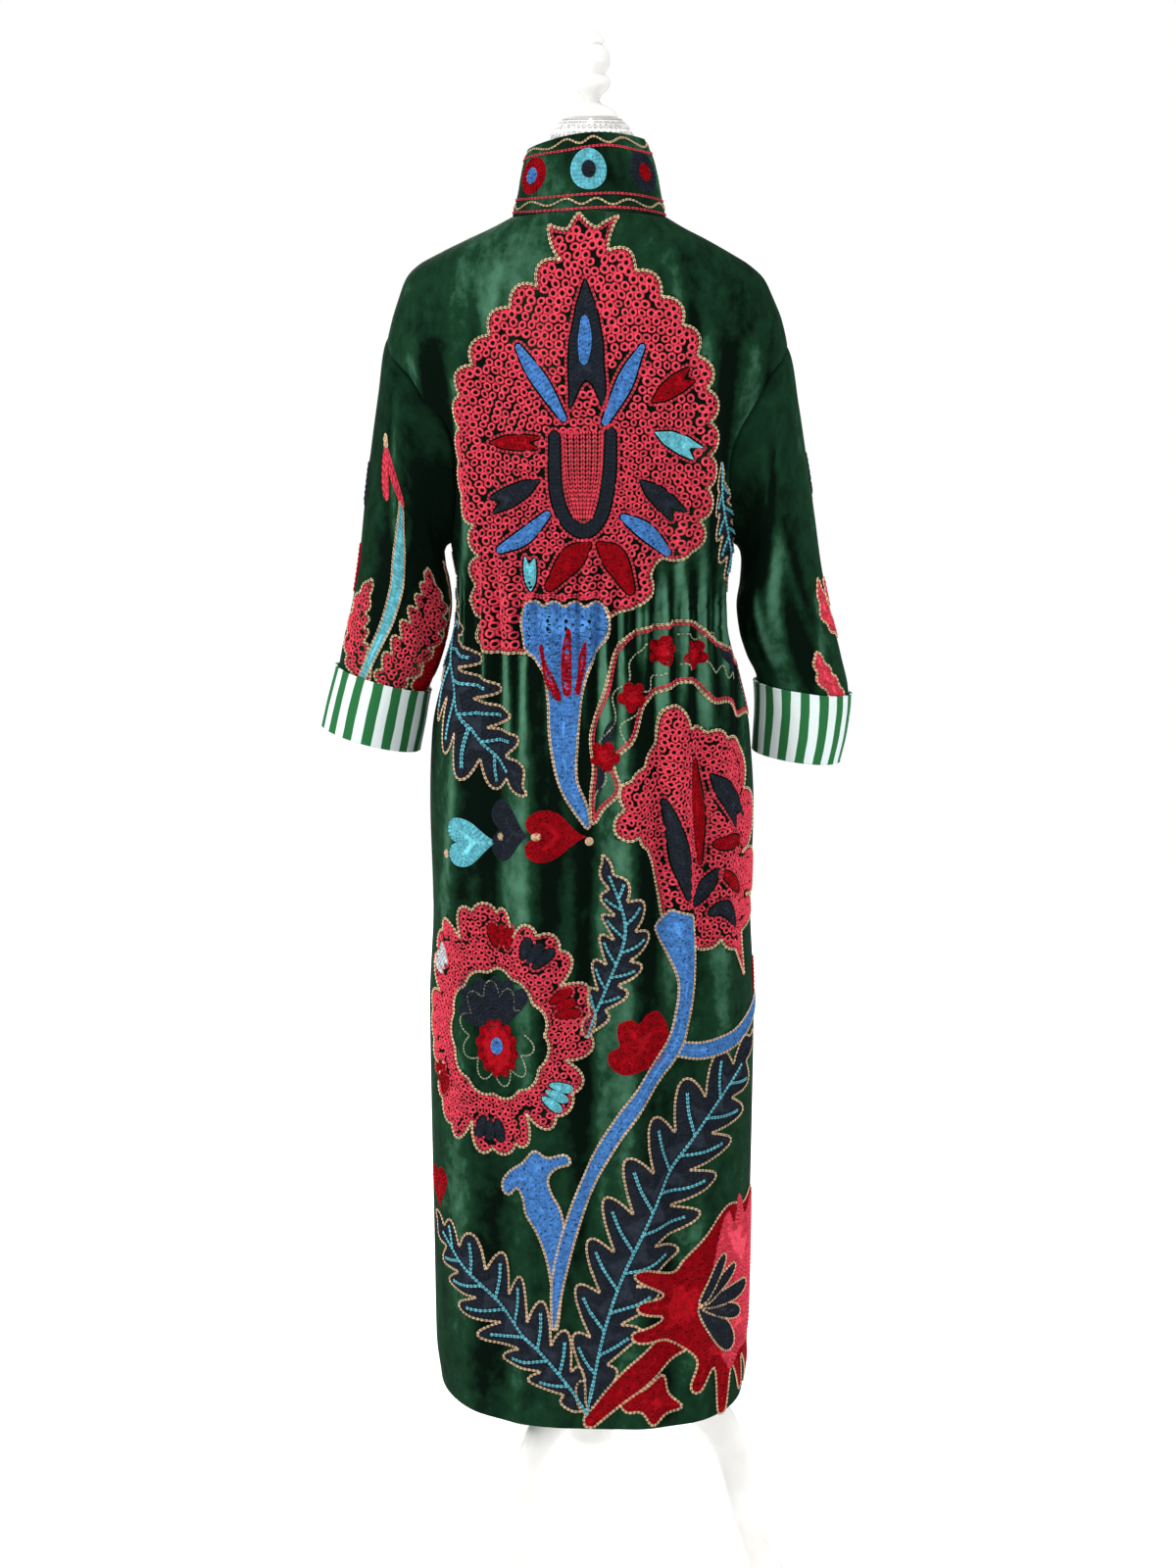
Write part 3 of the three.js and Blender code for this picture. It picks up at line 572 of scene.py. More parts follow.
def bodyPaintedLight(height, angle):
    # painted shade in hollows, on sides turned from the light and under the arms; painted highlights on
    # ridges
    ring = ringPoint(coatRings, height, angle)
    x, sine = ring[..., 0], np.sin(np.broadcast_to(angle, ring.shape[:-1]))
    height = np.broadcast_to(height, sine.shape)
    isBack = sine >= 0
    step = 2.0
    offset = bodyOffset(isBack, x, height)
    slope = (bodyOffset(isBack, x - step, height) - bodyOffset(isBack, x + step, height)) / (2 * step)
    underArm = bodyLightPaint["underArm"] * patch(np.abs(x), height, *bodyLightPaint["underArmPatch"])
    shoulder = (bodyLightPaint["leftShoulder"] * patch(x, height, *bodyLightPaint["leftShoulderPatch"])
                + bodyLightPaint["rightShoulder"] * patch(x, height, *bodyLightPaint["rightShoulderPatch"]))
    skirt = np.clip((bodyLightPaint["skirtTop"] - height) / bodyLightPaint["skirtFade"], 0, 1)
    gathered = np.exp(-((height - bodyLightPaint["gatheredMiddle"]) / bodyLightPaint["gatheredReach"]) ** 2)
    ridge = (bodyLightPaint["ridge"] + bodyLightPaint["ridgeSkirt"] * skirt) * (1 - 0.40 * gathered) * offset
    slant = (bodyLightPaint["slope"] + bodyLightPaint["slopeSkirt"] * skirt) * slope
    flat = bodyLightPaint["flat"] + bodyLightPaint["skirt"] * skirt + bodyLightPaint["gathered"] * gathered
    return np.clip(flat + np.where(isBack, shoulder, 0) + ridge + slant + underArm, 0, 1)


def bodyPoint(height, angle):
    point = ringPoint(coatRings, height, angle)
    sine = np.sin(np.broadcast_to(angle, point.shape[:-1]))
    height = np.broadcast_to(height, sine.shape)
    isBack = sine >= 0
    fade = np.minimum(1, (np.abs(sine) / body["foldFade"]) ** 2)
    halfWidth = readTable(coatRings, "halfWidth", height)
    depth = np.where(isBack, readTable(coatRings, "back", height), readTable(coatRings, "front", height))
    x = point[..., 0]
    offset = bodyOffset(isBack, x, height) * fade
    outX = x / halfWidth ** 2
    outY = point[..., 1] / depth ** 2
    size = np.maximum(np.hypot(outX, outY), 1e-12)
    point[..., 0] += outX / size * offset
    point[..., 1] += outY / size * offset
    return point


def arcTable(table, height, fromAngle, toAngle, steps=720):
    angles = np.linspace(fromAngle, toAngle, steps + 1)
    ring = ringPoint(table, height, angles)
    return angles, runLengths(ring)


# angles on the back by arc length from the centre back, at a set of heights
backHeightStep, backArcStep = 4.0, 2.0
backHeights = np.arange(body["hem"] - 16, body["neck"] + 12, backHeightStep)
backArc = np.arange(-300, 301, backArcStep)
backAngles = []
for backHeight in backHeights:
    ringAngles, ringLengths = arcTable(coatRings, backHeight, 0, math.pi, 480)
    ringCentre = np.interp(math.pi / 2, ringAngles, ringLengths)
    backAngles.append(np.interp(backArc, ringLengths - ringCentre, ringAngles))
backAngles = np.array(backAngles)


def backSurface(a, b):
    # a is the distance from the centre back towards the wearer's right, b the height of the ring
    row = np.clip((b - backHeights[0]) / backHeightStep, 0, len(backHeights) - 1.001)
    column = np.clip((a - backArc[0]) / backArcStep, 0, len(backArc) - 1.001)
    i, j = row.astype(int), column.astype(int)
    s, t = row - i, column - j
    angle = ((backAngles[i, j] * (1 - t) + backAngles[i, j + 1] * t) * (1 - s)
             + (backAngles[i + 1, j] * (1 - t) + backAngles[i + 1, j + 1] * t) * s)
    return bodyPoint(b, angle)


collarMiddle = 1482
collarAngles, collarLengths = arcTable(collarRings, collarMiddle, -0.5 * math.pi, 1.5 * math.pi)
collarCentre = np.interp(math.pi / 2, collarAngles, collarLengths)


def collarPoint(height, angle):
    point = ringPoint(collarRings, height, angle)
    slump = np.sin(3 * angle + height / 24) + 0.7 * np.sin(5 * angle - height / 17)
    outward = point[..., :2] / np.maximum(np.linalg.norm(point[..., :2], axis=-1, keepdims=True), 1e-9)
    point[..., :2] += outward * (0.7 * slump * np.minimum(1, (height - 1448) / 20))[..., None]
    return point


def collarSurface(a, b):
    # a runs along the collar from the centre back to the wearer's right, b up from its seam
    angle = np.interp(a + collarCentre, collarLengths, collarAngles)
    return collarPoint(collarRings["z"][0] + b, angle)


sleeveColumns = "innerX innerZ outerX outerZ halfDepth y section"
leftSleeve = columns(sleeveColumns, [
    (120, 1138, 152, 1354, 60, 0, 0),
    (146, 1124, 203, 1328, 64, 0, 1),
    (148, 1117, 212, 1276, 63, -1, 2),
    (147, 1106, 221, 1216, 60, -2, 3),
    (145, 1089, 228, 1164, 57, -4, 4),
    (143, 1067, 234, 1114, 53, -6, 5),
    (147, 1037, 242, 1068, 50, -8, 6),
    (156, 1005, 251, 1032, 48, -10, 7),
    (167, 978, 257, 1003, 46, -11, 8),
    (175, 946, 264, 970, 45, -12, 9),
    (183, 915, 270, 939, 44, -12, 10),
])
rightSleeve = columns(sleeveColumns, [
    (120, 1138, 146, 1346, 60, 0, 0),
    (146, 1124, 194, 1320, 65, 0, 1),
    (149, 1117, 205, 1266, 65, 0, 2),
    (150, 1107, 214, 1212, 63, -2, 3),
    (149, 1088, 223, 1156, 60, -3, 4),
    (146, 1065, 231, 1104, 57, -5, 5),
    (149, 1039, 242, 1054, 53, -7, 6),
    (157, 1013, 253, 1012, 50, -9, 7),
    (168, 988, 261, 974, 48, -10, 8),
    (171, 950, 256, 939, 46, -11, 9),
    (171, 914, 247, 904, 44, -11, 10),
])
# creases on the sleeve: section, turn from the far side towards the back, their reaches, depth and slant
sleeveFoldColumns = "along around alongReach aroundReach depth slant"
leftSleeveFolds = columns(sleeveFoldColumns, [
    (3.4, 0.33, 2.4, 0.060, -6, 0),
    (4.6, 0.42, 2.2, 0.050, 4, 0),
    (5.6, 0.18, 1.6, 0.080, -4, 0),
    (5.0, 0.70, 2.0, 0.070, -5, 0),
    (3.2, 0.20, 2.2, 0.022, 1.6, 0.020),
    (4.2, 0.27, 1.6, 0.020, -1.8, -0.030),
    (6.8, 0.33, 1.1, 0.026, 2.0, 0.030),
    (5.9, 0.36, 0.9, 0.020, -2.0, 0.040),
    (6.4, 0.62, 1.4, 0.030, 2.2, 0.020),
    (2.4, 0.40, 1.4, 0.024, -2.0, 0.030),
])
rightSleeveFolds = columns(sleeveFoldColumns, [
    (3.1, 0.37, 1.2, 0.070, -8, 0),
    (4.4, 0.30, 2.0, 0.050, 5, 0),
    (6.2, 0.26, 1.8, 0.045, -5, 0),
    (5.0, 0.68, 2.0, 0.070, -5, 0),
    (3.9, 0.39, 0.7, 0.028, 3.4, 0.060),
    (5.4, 0.36, 1.8, 0.020, 2.6, -0.006),
    (6.6, 0.17, 1.1, 0.024, 1.8, 0.030),
    (4.8, 0.20, 1.4, 0.020, -1.6, -0.030),
    (6.8, 0.60, 1.2, 0.030, 2.2, 0.020),
    (2.2, 0.28, 1.2, 0.024, -1.6, 0.030),
])
sleeves = {
    # each sleeve's last pair is its painted light near the shoulder and lower down: painted shade, darker
    # on the left
    "left": {"table": leftSleeve, "folds": leftSleeveFolds, "side": 1, "nap": (0.27, 0.40)},
    "right": {"table": rightSleeve, "folds": rightSleeveFolds, "side": -1, "nap": (0.36, 0.48)},
}
sleeveCut = {
    "columns": 96,
    "rows": 108,
    "girth": 300,
    "lastSection": 10,
    "cuffSection": 8,
    "gap": 0.3,  # clear of the body at the armhole
}


def sleeveFoldDepth(folds, section, turn):
    total = np.zeros_like(section)
    for along, around, alongReach, aroundReach, depth, slant in zip(*folds.values()):
        away = (section - along) / alongReach
        gap = ((turn - around - slant * (section - along) + 0.5) % 1 - 0.5) / aroundReach
        total += depth * np.exp(-away * away - gap * gap)
    return total


# painted light on the sleeves: painted highlights on ridges, painted shade in hollows and at the armhole
sleeveLightPaint = {
    "ridge": 0.12,
    "slope": 1.4,
    "girth": 330,
    "armhole": -0.55,
    "armholePatch": (0.44, 3.0, 0.15, 3.6),  # middle and reach, as turn and section
}


def sleevePaintedLight(sleeve, section, turn):
    section, turn = np.broadcast_arrays(np.asarray(section, float), np.asarray(turn, float))
    step = 0.006
    offset = sleeveFoldDepth(sleeve["folds"], section, turn)
    ahead = sleeveFoldDepth(sleeve["folds"], section, turn + step)
    slope = sleeve["side"] * (offset - ahead) / (step * sleeveLightPaint["girth"])
    armhole = sleeveLightPaint["armhole"] * patch(turn, section, *sleeveLightPaint["armholePatch"])
    flat = np.interp(section, (2, 6), sleeve["nap"])
    return np.clip(flat + sleeveLightPaint["ridge"] * offset + sleeveLightPaint["slope"] * slope + armhole, 0, 1)


def sleevePoint(sleeve, section, turn):
    section, turn = np.broadcast_arrays(np.asarray(section, float), np.asarray(turn, float))
    value = {name: readTable(sleeve["table"], name, section, "section") for name in sleeve["table"]}
    swell = sleeveFoldDepth(sleeve["folds"], section, turn)
    reachX = (value["outerX"] - value["innerX"]) / 2
    reachZ = (value["outerZ"] - value["innerZ"]) / 2
    swell = 1 + swell / (0.5 * (np.hypot(reachX, reachZ) + value["halfDepth"]))
    cosine, sine = np.cos(fullTurn * turn), np.sin(fullTurn * turn)
    x = (value["innerX"] + value["outerX"]) / 2 + reachX * swell * cosine
    y = value["y"] + value["halfDepth"] * swell * sine
    z = (value["innerZ"] + value["outerZ"]) / 2 + reachZ * swell * cosine
    return np.stack([sleeve["side"] * x, y, z], -1)


def bodyClearance(point):
    # how far a point lies outside the coat's body, measured level from the body's axis
    x, y, z = point[..., 0], point[..., 1], point[..., 2]
    power = readTable(coatRings, "square", z) / 2
    centre = readTable(coatRings, "shift", z)
    depth = np.where(y >= 0, readTable(coatRings, "back", z), readTable(coatRings, "front", z))
    across = signedPower((x - centre) / readTable(coatRings, "halfWidth", z), power)
    along = signedPower(y / depth, power)
    surface = bodyPoint(z, np.arctan2(along, across))
    inside = np.hypot(surface[..., 0] - centre, surface[..., 1])
    return np.hypot(x - centre, y) - inside


def armholeSections(sleeve, turns):
    # the section at which each line along the sleeve meets the body
    trial = np.linspace(sleeveCut["cuffSection"] - 3, 0, 260)
    points = sleevePoint(sleeve, trial[:, None], turns[None, :])
    clearance = bodyClearance(points) - sleeveCut["gap"]
    inside = clearance < 0
    first = np.argmax(inside, axis=0)
    first = np.where(inside.any(axis=0), np.maximum(first, 1), len(trial) - 1)
    column = np.arange(len(turns))
    before, after = clearance[first - 1, column], clearance[first, column]
    share = np.clip(before / np.where(before - after == 0, 1, before - after), 0, 1)
    return trial[first - 1] + (trial[first] - trial[first - 1]) * share


def lifted(surface, a, b, lift):
    # points of a surface, moved out along its normal
    step = 0.8
    point = surface(a, b)
    across = surface(a + step, b) - surface(a - step, b)
    up = surface(a, b + step) - surface(a, b - step)
    return point + unitCross(across, up) * np.asarray(lift, float)[..., None]


def sleeveSurfaceOf(sleeve):
    # a runs round the sleeve from its far side, as seen from the back; b runs up from the cuff's edge
    sections = np.linspace(sleeveCut["lastSection"], 0, 201)
    middle = (sleevePoint(sleeve, sections, 0.0) + sleevePoint(sleeve, sections, 0.5)) / 2
    lengths = runLengths(middle)
    table = sleeve["table"]
    reach = np.hypot(table["outerX"] - table["innerX"], table["outerZ"] - table["innerZ"]) / 2
    girth = math.pi * (reach + table["halfDepth"])

    def surface(a, b):
        section = np.interp(b, lengths, sections)
        around = np.interp(section, table["section"], girth)
        return sleevePoint(sleeve, section, sleeve["side"] * a / around)

    return surface


# Cloth pieces

def meshPiece(name, points, faces, uvs=None, materials=(), smooth=True):
    # points in millimetres; uvs are one pair for each face corner, in metres
    mesh = bpy.data.meshes.new(name)
    mesh.from_pydata((np.asarray(points) * mm).tolist(), [], faces)
    if uvs is not None:
        layer = mesh.uv_layers.new(name="UVMap")
        layer.data.foreach_set("uv", np.asarray(uvs, np.float32).ravel())
    if smooth:
        mesh.shade_smooth()
    for material in materials:
        mesh.materials.append(material)
    piece = bpy.data.objects.new(name, mesh)
    bpy.context.scene.collection.objects.link(piece)
    return piece


def pick(piece):
    # select one piece alone
    bpy.ops.object.select_all(action="DESELECT")
    piece.select_set(True)
    bpy.context.view_layer.objects.active = piece


def applyModifier(piece, kind, **settings):
    pick(piece)
    modifier = piece.modifiers.new(kind.lower(), kind)
    for name, value in settings.items():
        setattr(modifier, name, value)
    bpy.ops.object.modifier_apply(modifier=modifier.name)


def gridPiece(name, grid, uv, materials, wraps=False, keep=None, **attributes):
    # a sheet from rows of points that run anticlockwise seen from above, with a UV for each point
    rows, count = grid.shape[:2]
    last = count if wraps else count - 1
    i, j = np.meshgrid(np.arange(rows - 1), np.arange(last), indexing="ij")
    if keep is not None:
        i, j = i[keep[:, :last]], j[keep[:, :last]]
    i, j = i.ravel(), j.ravel()
    nextColumn = (j + 1) % count
    low, high = i * count, (i + 1) * count
    faces = np.stack([low + j, low + nextColumn, high + nextColumn, high + j], -1)
    corners = np.stack([uv[i, j], uv[i, j + 1], uv[i + 1, j + 1], uv[i + 1, j]], 1)
    used, inverse = np.unique(faces, return_inverse=True)
    points = grid.reshape(-1, 3)[used]
    piece = meshPiece(name, points, inverse.reshape(-1, 4).tolist(), corners.reshape(-1, 2) * mm, materials)
    for key, values in attributes.items():
        attribute = piece.data.attributes.new(key, "FLOAT", "POINT")
        attribute.data.foreach_set("value", np.asarray(values, np.float32).ravel()[used])
    return piece


def thicken(piece, thickness):
    applyModifier(piece, "SOLIDIFY", thickness=thickness * mm, offset=-1, use_even_offset=False,
                  material_offset=1, material_offset_rim=0)


def insideSleeve(points, sleeve, margin):
    # which points of the body lie within the sleeve's hollow
    sections = np.linspace(0, 5, 101)
    value = {name: readTable(sleeve["table"], name, sections, "section") for name in sleeve["table"]}
    x, y, z = points[..., 0] * sleeve["side"], points[..., 1], points[..., 2]
    reachX = (value["outerX"] - value["innerX"]) / 2
    reachZ = (value["outerZ"] - value["innerZ"]) / 2
    size = np.hypot(reachX, reachZ)
    awayX = x[..., None] - (value["innerX"] + value["outerX"]) / 2
    awayZ = z[..., None] - (value["innerZ"] + value["outerZ"]) / 2
    off = np.abs(awayX * reachZ - awayZ * reachX) / size
    along = (awayX * reachX + awayZ * reachZ) / size ** 2
    side = (y[..., None] - value["y"]) / value["halfDepth"]
    best = np.argmin(off + 40 * np.maximum(np.abs(along) - 1.1, 0), axis=-1)[..., None]
    near = np.take_along_axis(off, best, -1)[..., 0] < 4
    radius = np.take_along_axis(np.hypot(along, side), best, -1)[..., 0]
    return near & (radius < margin)


def panelAngles(fromAngle, toAngle, count):
    angles, lengths = arcTable(coatRings, body["waist"], fromAngle, toAngle)
    return np.interp(np.linspace(0, lengths[-1], count + 1), lengths, angles)


def panelHeights(step):
    # rows are closer together at the casing, the neck and the hem
    parts = [
        np.arange(body["hem"], 270, 4), np.arange(270, 1030, step), np.arange(1030, 1090, 2.2),
        np.arange(1090, 1380, step), np.linspace(1380, body["neck"], 18),
    ]
    return np.concatenate(parts)


def bodyPanel(name, fromAngle, toAngle, count, rowStep, materials):
    heights = panelHeights(rowStep)
    angles = panelAngles(fromAngle, toAngle, count)
    grid = bodyPoint(heights[:, None], angles[None, :])
    isBack = fromAngle == 0
    share = (body["neck"] - heights) / (body["neck"] - body["hem"])
    gap = body["frontGapTop"] + (body["frontGapHem"] - body["frontGapTop"]) * share
    for column, angle in ((0, fromAngle), (count, toAngle)):
        if math.isclose(angle, 1.5 * math.pi):
            grid[:, column, 0] = np.sign(grid[:, count // 2, 0]) * gap
        else:
            grid[:, column, 1] = body["seamHalfGap"] if isBack else -body["seamHalfGap"]
    lengths = np.concatenate([np.zeros((len(heights), 1)),
                              np.cumsum(np.linalg.norm(np.diff(grid, axis=1), axis=2), axis=1)], axis=1)
    across = lengths - lengths[:, [count // 2]]
    uv = np.stack([across, np.broadcast_to(heights[:, None], lengths.shape)], -1)
    centres = (grid[:-1, :-1] + grid[1:, 1:]) / 2
    armhole = np.zeros(centres.shape[:2], bool)
    for sleeve in sleeves.values():
        armhole |= insideSleeve(centres, sleeve, 0.93)
    # painted light and shade, kept as an attribute for the velvet's colour
    values = {"nap": bodyPaintedLight(heights[:, None], angles[None, :])}
    if isBack:
        # where each point lies among the embroidery
        steps = 360
        tables = [arcTable(coatRings, height, fromAngle, toAngle, steps) for height in heights]
        values["across"] = np.array([np.interp(angles, *table) - table[1][steps // 2] for table in tables])
        values["up"] = np.broadcast_to(heights[:, None], values["across"].shape)
    piece = gridPiece(name, grid, uv, materials, keep=~armhole, **values)
    thicken(piece, body["cloth"])
    return piece


def sleevePiece(name, sleeve, materials):
    turns = np.arange(sleeveCut["columns"]) / sleeveCut["columns"]
    top = armholeSections(sleeve, turns)
    share = np.linspace(0, 1, sleeveCut["rows"])[:, None]
    section = sleeveCut["lastSection"] + (top[None, :] - sleeveCut["lastSection"]) * share
    grid = sleevePoint(sleeve, section, turns[None, :])
    u = np.arange(sleeveCut["columns"] + 1) / sleeveCut["columns"] * sleeveCut["girth"]
    uv = uvGrid(u, runLengths(grid))
    nap = sleevePaintedLight(sleeve, section, turns[None, :])
    if sleeve["side"] < 0:
        grid, nap = (np.roll(values[:, ::-1], 1, axis=1) for values in (grid, nap))
    piece = gridPiece(name, grid, uv, materials, wraps=True, nap=nap)
    thicken(piece, body["cloth"])
    return piece


cuff = {
    "inner": 0.8,  # clear of the sleeve
    "outer": 4.6,
    "topSection": 8.0,
    "bottomSection": 10.0,
    "columns": 96,
    "sideSteps": 14,
    "roundSteps": 5,
    "stripes": 16,
    "flare": 3.2,  # how far its top edge stands off
    "waves": 1.1,
}


def cuffPiece(name, sleeve, material):
    # a band folded back over the sleeve's end, rounded at its fold and at its top edge
    side = np.linspace(0, 1, cuff["sideSteps"])
    turn = np.linspace(0, math.pi, cuff["roundSteps"] + 2)[1:-1]
    middle = (cuff["inner"] + cuff["outer"]) / 2
    half = (cuff["outer"] - cuff["inner"]) / 2
    bulge = 0.5 * np.sin(math.pi * side)
    profile = np.concatenate([
        np.stack([side, middle + half + bulge - 0.5], -1),
        np.stack([1 + 0.03 * np.sin(turn), middle + half * np.cos(turn)], -1),
        np.stack([1 - side, middle - half + 0 * side], -1),
        np.stack([-0.03 * np.sin(turn), middle - half * np.cos(turn)], -1),
    ])
    turns = np.arange(cuff["columns"]) / cuff["columns"]
    low, high = cuff["bottomSection"] - 0.08, cuff["topSection"] + 0.06
    section = low + (high - low) * profile[:, :1] + 0 * turns[None, :]
    turnStep, sectionStep = 0.004, 0.05
    around = (sleevePoint(sleeve, section, turns[None, :] + turnStep)
              - sleevePoint(sleeve, section, turns[None, :] - turnStep))
    up = (sleevePoint(sleeve, section - sectionStep, turns[None, :])
          - sleevePoint(sleeve, section + sectionStep, turns[None, :]))
    normal = unitCross(around, up) * sleeve["side"]
    waves = np.sin(fullTurn * (3 * turns + 0.2)) * np.sin(fullTurn * (turns + 0.6))
    waves = waves + 0.5 * np.sin(fullTurn * 5 * turns)
    rising = np.clip(1 - profile[:, :1], 0, 1)
    off = cuff["flare"] * rising ** 1.5
    off = off + cuff["waves"] * (0.5 + waves[None, :]) * np.sin(math.pi * rising * 0.9)
    off = profile[:, 1:] + np.maximum(off, 0)
    grid = sleevePoint(sleeve, section, turns[None, :]) + normal * off[..., None]
    width = cuff["stripes"] * lining["stripePitch"] / mm
    uv = uvGrid(np.arange(cuff["columns"] + 1) / cuff["columns"] * width, runLengths(grid))
    if sleeve["side"] < 0:
        grid = np.roll(grid[:, ::-1], 1, axis=1)
    grid = np.concatenate([grid, grid[:1]])
    uv = np.concatenate([uv, uv[-1:] + [0, 4]])
    piece = gridPiece(name, grid, uv, [material], wraps=True)
    applyModifier(piece, "WELD", merge_threshold=0.00005)
    return piece


collar = {"columns": 150, "rows": 26, "top": 1516, "thickness": 3, "gapBottom": 5, "gapTop": 13}


def collarPiece(materials):
    heights = np.linspace(collarRings["z"][0], collar["top"], collar["rows"])
    lengths = np.linspace(0, collarLengths[-1], collar["columns"] + 1)
    angles = np.interp(lengths, collarLengths, collarAngles)
    grid = collarPoint(heights[:, None], angles[None, :])
    gap = np.linspace(collar["gapBottom"], collar["gapTop"], collar["rows"])
    grid[:, 0, 0] = gap
    grid[:, -1, 0] = -gap
    uv = uvGrid(lengths, heights)
    # painted highlights on the collar's slumped ridges and painted shade between them
    nap = 0.45 + 0.2 * np.sin(3 * angles[None, :] + heights[:, None] / 24)
    piece = gridPiece("collar_cloth", grid, uv, materials, nap=nap)
    thicken(piece, collar["thickness"])
    applyModifier(piece, "BEVEL", width=0.0007, segments=2, limit_method="ANGLE",
                  angle_limit=math.radians(60))
    return piece


def finishCloth(piece, node):
    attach(piece, "root")
    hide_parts(node)


makeCamera()
makeStudio()
velvetCloth = velvetMaterial()
liningCloth = liningMaterial()
clothMaterials = [velvetCloth, liningCloth]
print("materials and studio ready")

backCloth = bodyPanel("back_cloth", 0, math.pi, body["backColumns"], body["backStep"], clothMaterials)
finishCloth(backCloth, "back_panel")
for node, start in (("right_front", 1.0), ("left_front", 1.5)):
    panel = bodyPanel(node + "_cloth", start * math.pi, (start + 0.5) * math.pi, body["frontColumns"],
                      body["frontStep"], clothMaterials)
    finishCloth(panel, node)
print("body panels ready")

for name, sleeve in sleeves.items():
    finishCloth(sleevePiece(name + "_sleeve_cloth", sleeve, clothMaterials), name + "_sleeve")
    turnedBack = cuffPiece(name + "_cuff_cloth", sleeve, liningCloth)
    finishCloth(turnedBack, name + "_cuff")
finishCloth(collarPiece(clothMaterials), "collar")
print("sleeves, cuffs and collar ready")

# Dress form and stand

form = {
    "neckTop": 1541,
    "bottom": 772,
    "columns": 72,
    "neckFlattening": 0.96,
    "neckFrontDrop": 54,
    "girth": 900,
    "clear": 0.6,  # between the padding and the cloth
    "seat": ((0.60, 0), (0.86, 2), (0.94, 7)),  # share of the lowest ring and height above the bottom
    "hubTop": 318,
    "hubBottom": 150,
    "sides": 48,
}
# how far the torso lies inside the coat's wall, and the neck's radii above it
torsoInside = columns("z inside", [
    (790, 18), (860, 16), (940, 17), (1000, 18), (1060, 20), (1125, 14), (1180, 12), (1230, 12), (1280, 22),
    (1315, 30), (1345, 24), (1370, 10), (1388, 2), (1401, 0.5), (1412, 0.5), (1427, 0.5), (1437, 6),
])
neckRings = columns("z radius", [
    (1447, 55), (1460, 50), (1480, 46), (1500, 44), (1516, 42), (1526, 38.5), (1534, 33.5), (1541, 27),
])


def neckPoint(height, angle):
    height, angle = np.broadcast_arrays(np.asarray(height, float), np.asarray(angle, float))
    radius = readTable(neckRings, "radius", height)
    drop = form["neckFrontDrop"] * (form["neckTop"] - height) / (form["neckTop"] - body["neck"])
    sine = np.sin(angle)
    z = np.where(sine < 0, height - drop * sine * sine, height)
    return np.stack([radius * np.cos(angle), form["neckFlattening"] * radius * sine, z], -1)


def torsoPiece(material):
    turns = np.linspace(0, fullTurn, form["columns"] + 1)[:-1]
    heights = np.concatenate([np.arange(790, 1370, 16), torsoInside["z"][-6:]])
    step = 0.01
    wall = ringPoint(coatRings, heights[:, None], turns[None, :])
    around = ringPoint(coatRings, heights[:, None], turns[None, :] + step)
    around = around - ringPoint(coatRings, heights[:, None], turns[None, :] - step)
    up = ringPoint(coatRings, heights[:, None] + 1, turns[None, :])
    up = up - ringPoint(coatRings, heights[:, None] - 1, turns[None, :])
    inside = readTable(torsoInside, "inside", heights) + body["cloth"] + form["clear"]
    torso = wall - unitCross(around, up) * inside[:, None, None]
    for _ in range(3):
        torso[1:-7] = (torso[:-8] + 2 * torso[1:-7] + torso[2:-6]) / 4
    seat = []
    for share, rise in form["seat"]:
        level = np.full(len(turns), form["bottom"] + rise)
        seat.append(np.column_stack([share * torso[0, :, :2], level]))
    neckHeights = np.array([1447, 1460, 1480, 1496, 1509, 1519, 1527, 1533, 1538, form["neckTop"]])
    neck = neckPoint(neckHeights[:, None], turns[None, :])
    grid = np.concatenate([np.array(seat), torso, neck])
    uv = uvGrid(np.linspace(0, form["girth"], len(turns) + 1), runLengths(grid))
    piece = gridPiece("form_padding", grid, uv, [material], wraps=True)
    pick(piece)
    bpy.ops.object.mode_set(mode="EDIT")
    bpy.ops.mesh.select_all(action="SELECT")
    bpy.ops.mesh.region_to_loop()
    bpy.ops.mesh.edge_face_add()
    bpy.ops.mesh.select_all(action="SELECT")
    bpy.ops.mesh.fill_holes(sides=0)
    bpy.ops.mesh.normals_make_consistent(inside=False)
    bpy.ops.object.mode_set(mode="OBJECT")
    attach(piece, "root")
    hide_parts("form_torso")


def hardPiece(piece, name, node, material, angle=35):
    # finishes a piece modelled in edit mode
    piece.name = name
    piece.data.name = name
    bpy.ops.object.mode_set(mode="OBJECT")
    bpy.ops.object.transform_apply(location=True, rotation=True, scale=True)
    bpy.ops.object.shade_smooth_by_angle(angle=math.radians(angle))
    piece.data.materials.append(material)
    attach(piece, "root")
    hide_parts(node)


def turnedPiece(name, node, profile, base, material):
    # turned from a disc, drawn up ring by ring
    bpy.ops.object.select_all(action="DESELECT")
    radius, height = profile[0]
    bpy.ops.mesh.primitive_circle_add(vertices=form["sides"], radius=radius * mm, fill_type="NGON",
                                      location=(0, 0, (base + height) * mm))
    piece = bpy.context.object
    bpy.ops.object.mode_set(mode="EDIT")
    bpy.ops.mesh.select_all(action="SELECT")
    for nextRadius, nextHeight in profile[1:]:
        rise = (nextHeight - height) * mm
        bpy.ops.mesh.extrude_region_move(TRANSFORM_OT_translate={"value": (0, 0, rise)})
        share = nextRadius / radius
        bpy.ops.transform.resize(value=(share, share, 1), center_override=(0, 0, (base + nextHeight) * mm))
        radius, height = nextRadius, nextHeight
    bpy.ops.mesh.select_all(action="SELECT")
    bpy.ops.mesh.normals_make_consistent(inside=False)
    hardPiece(piece, name, node, material)


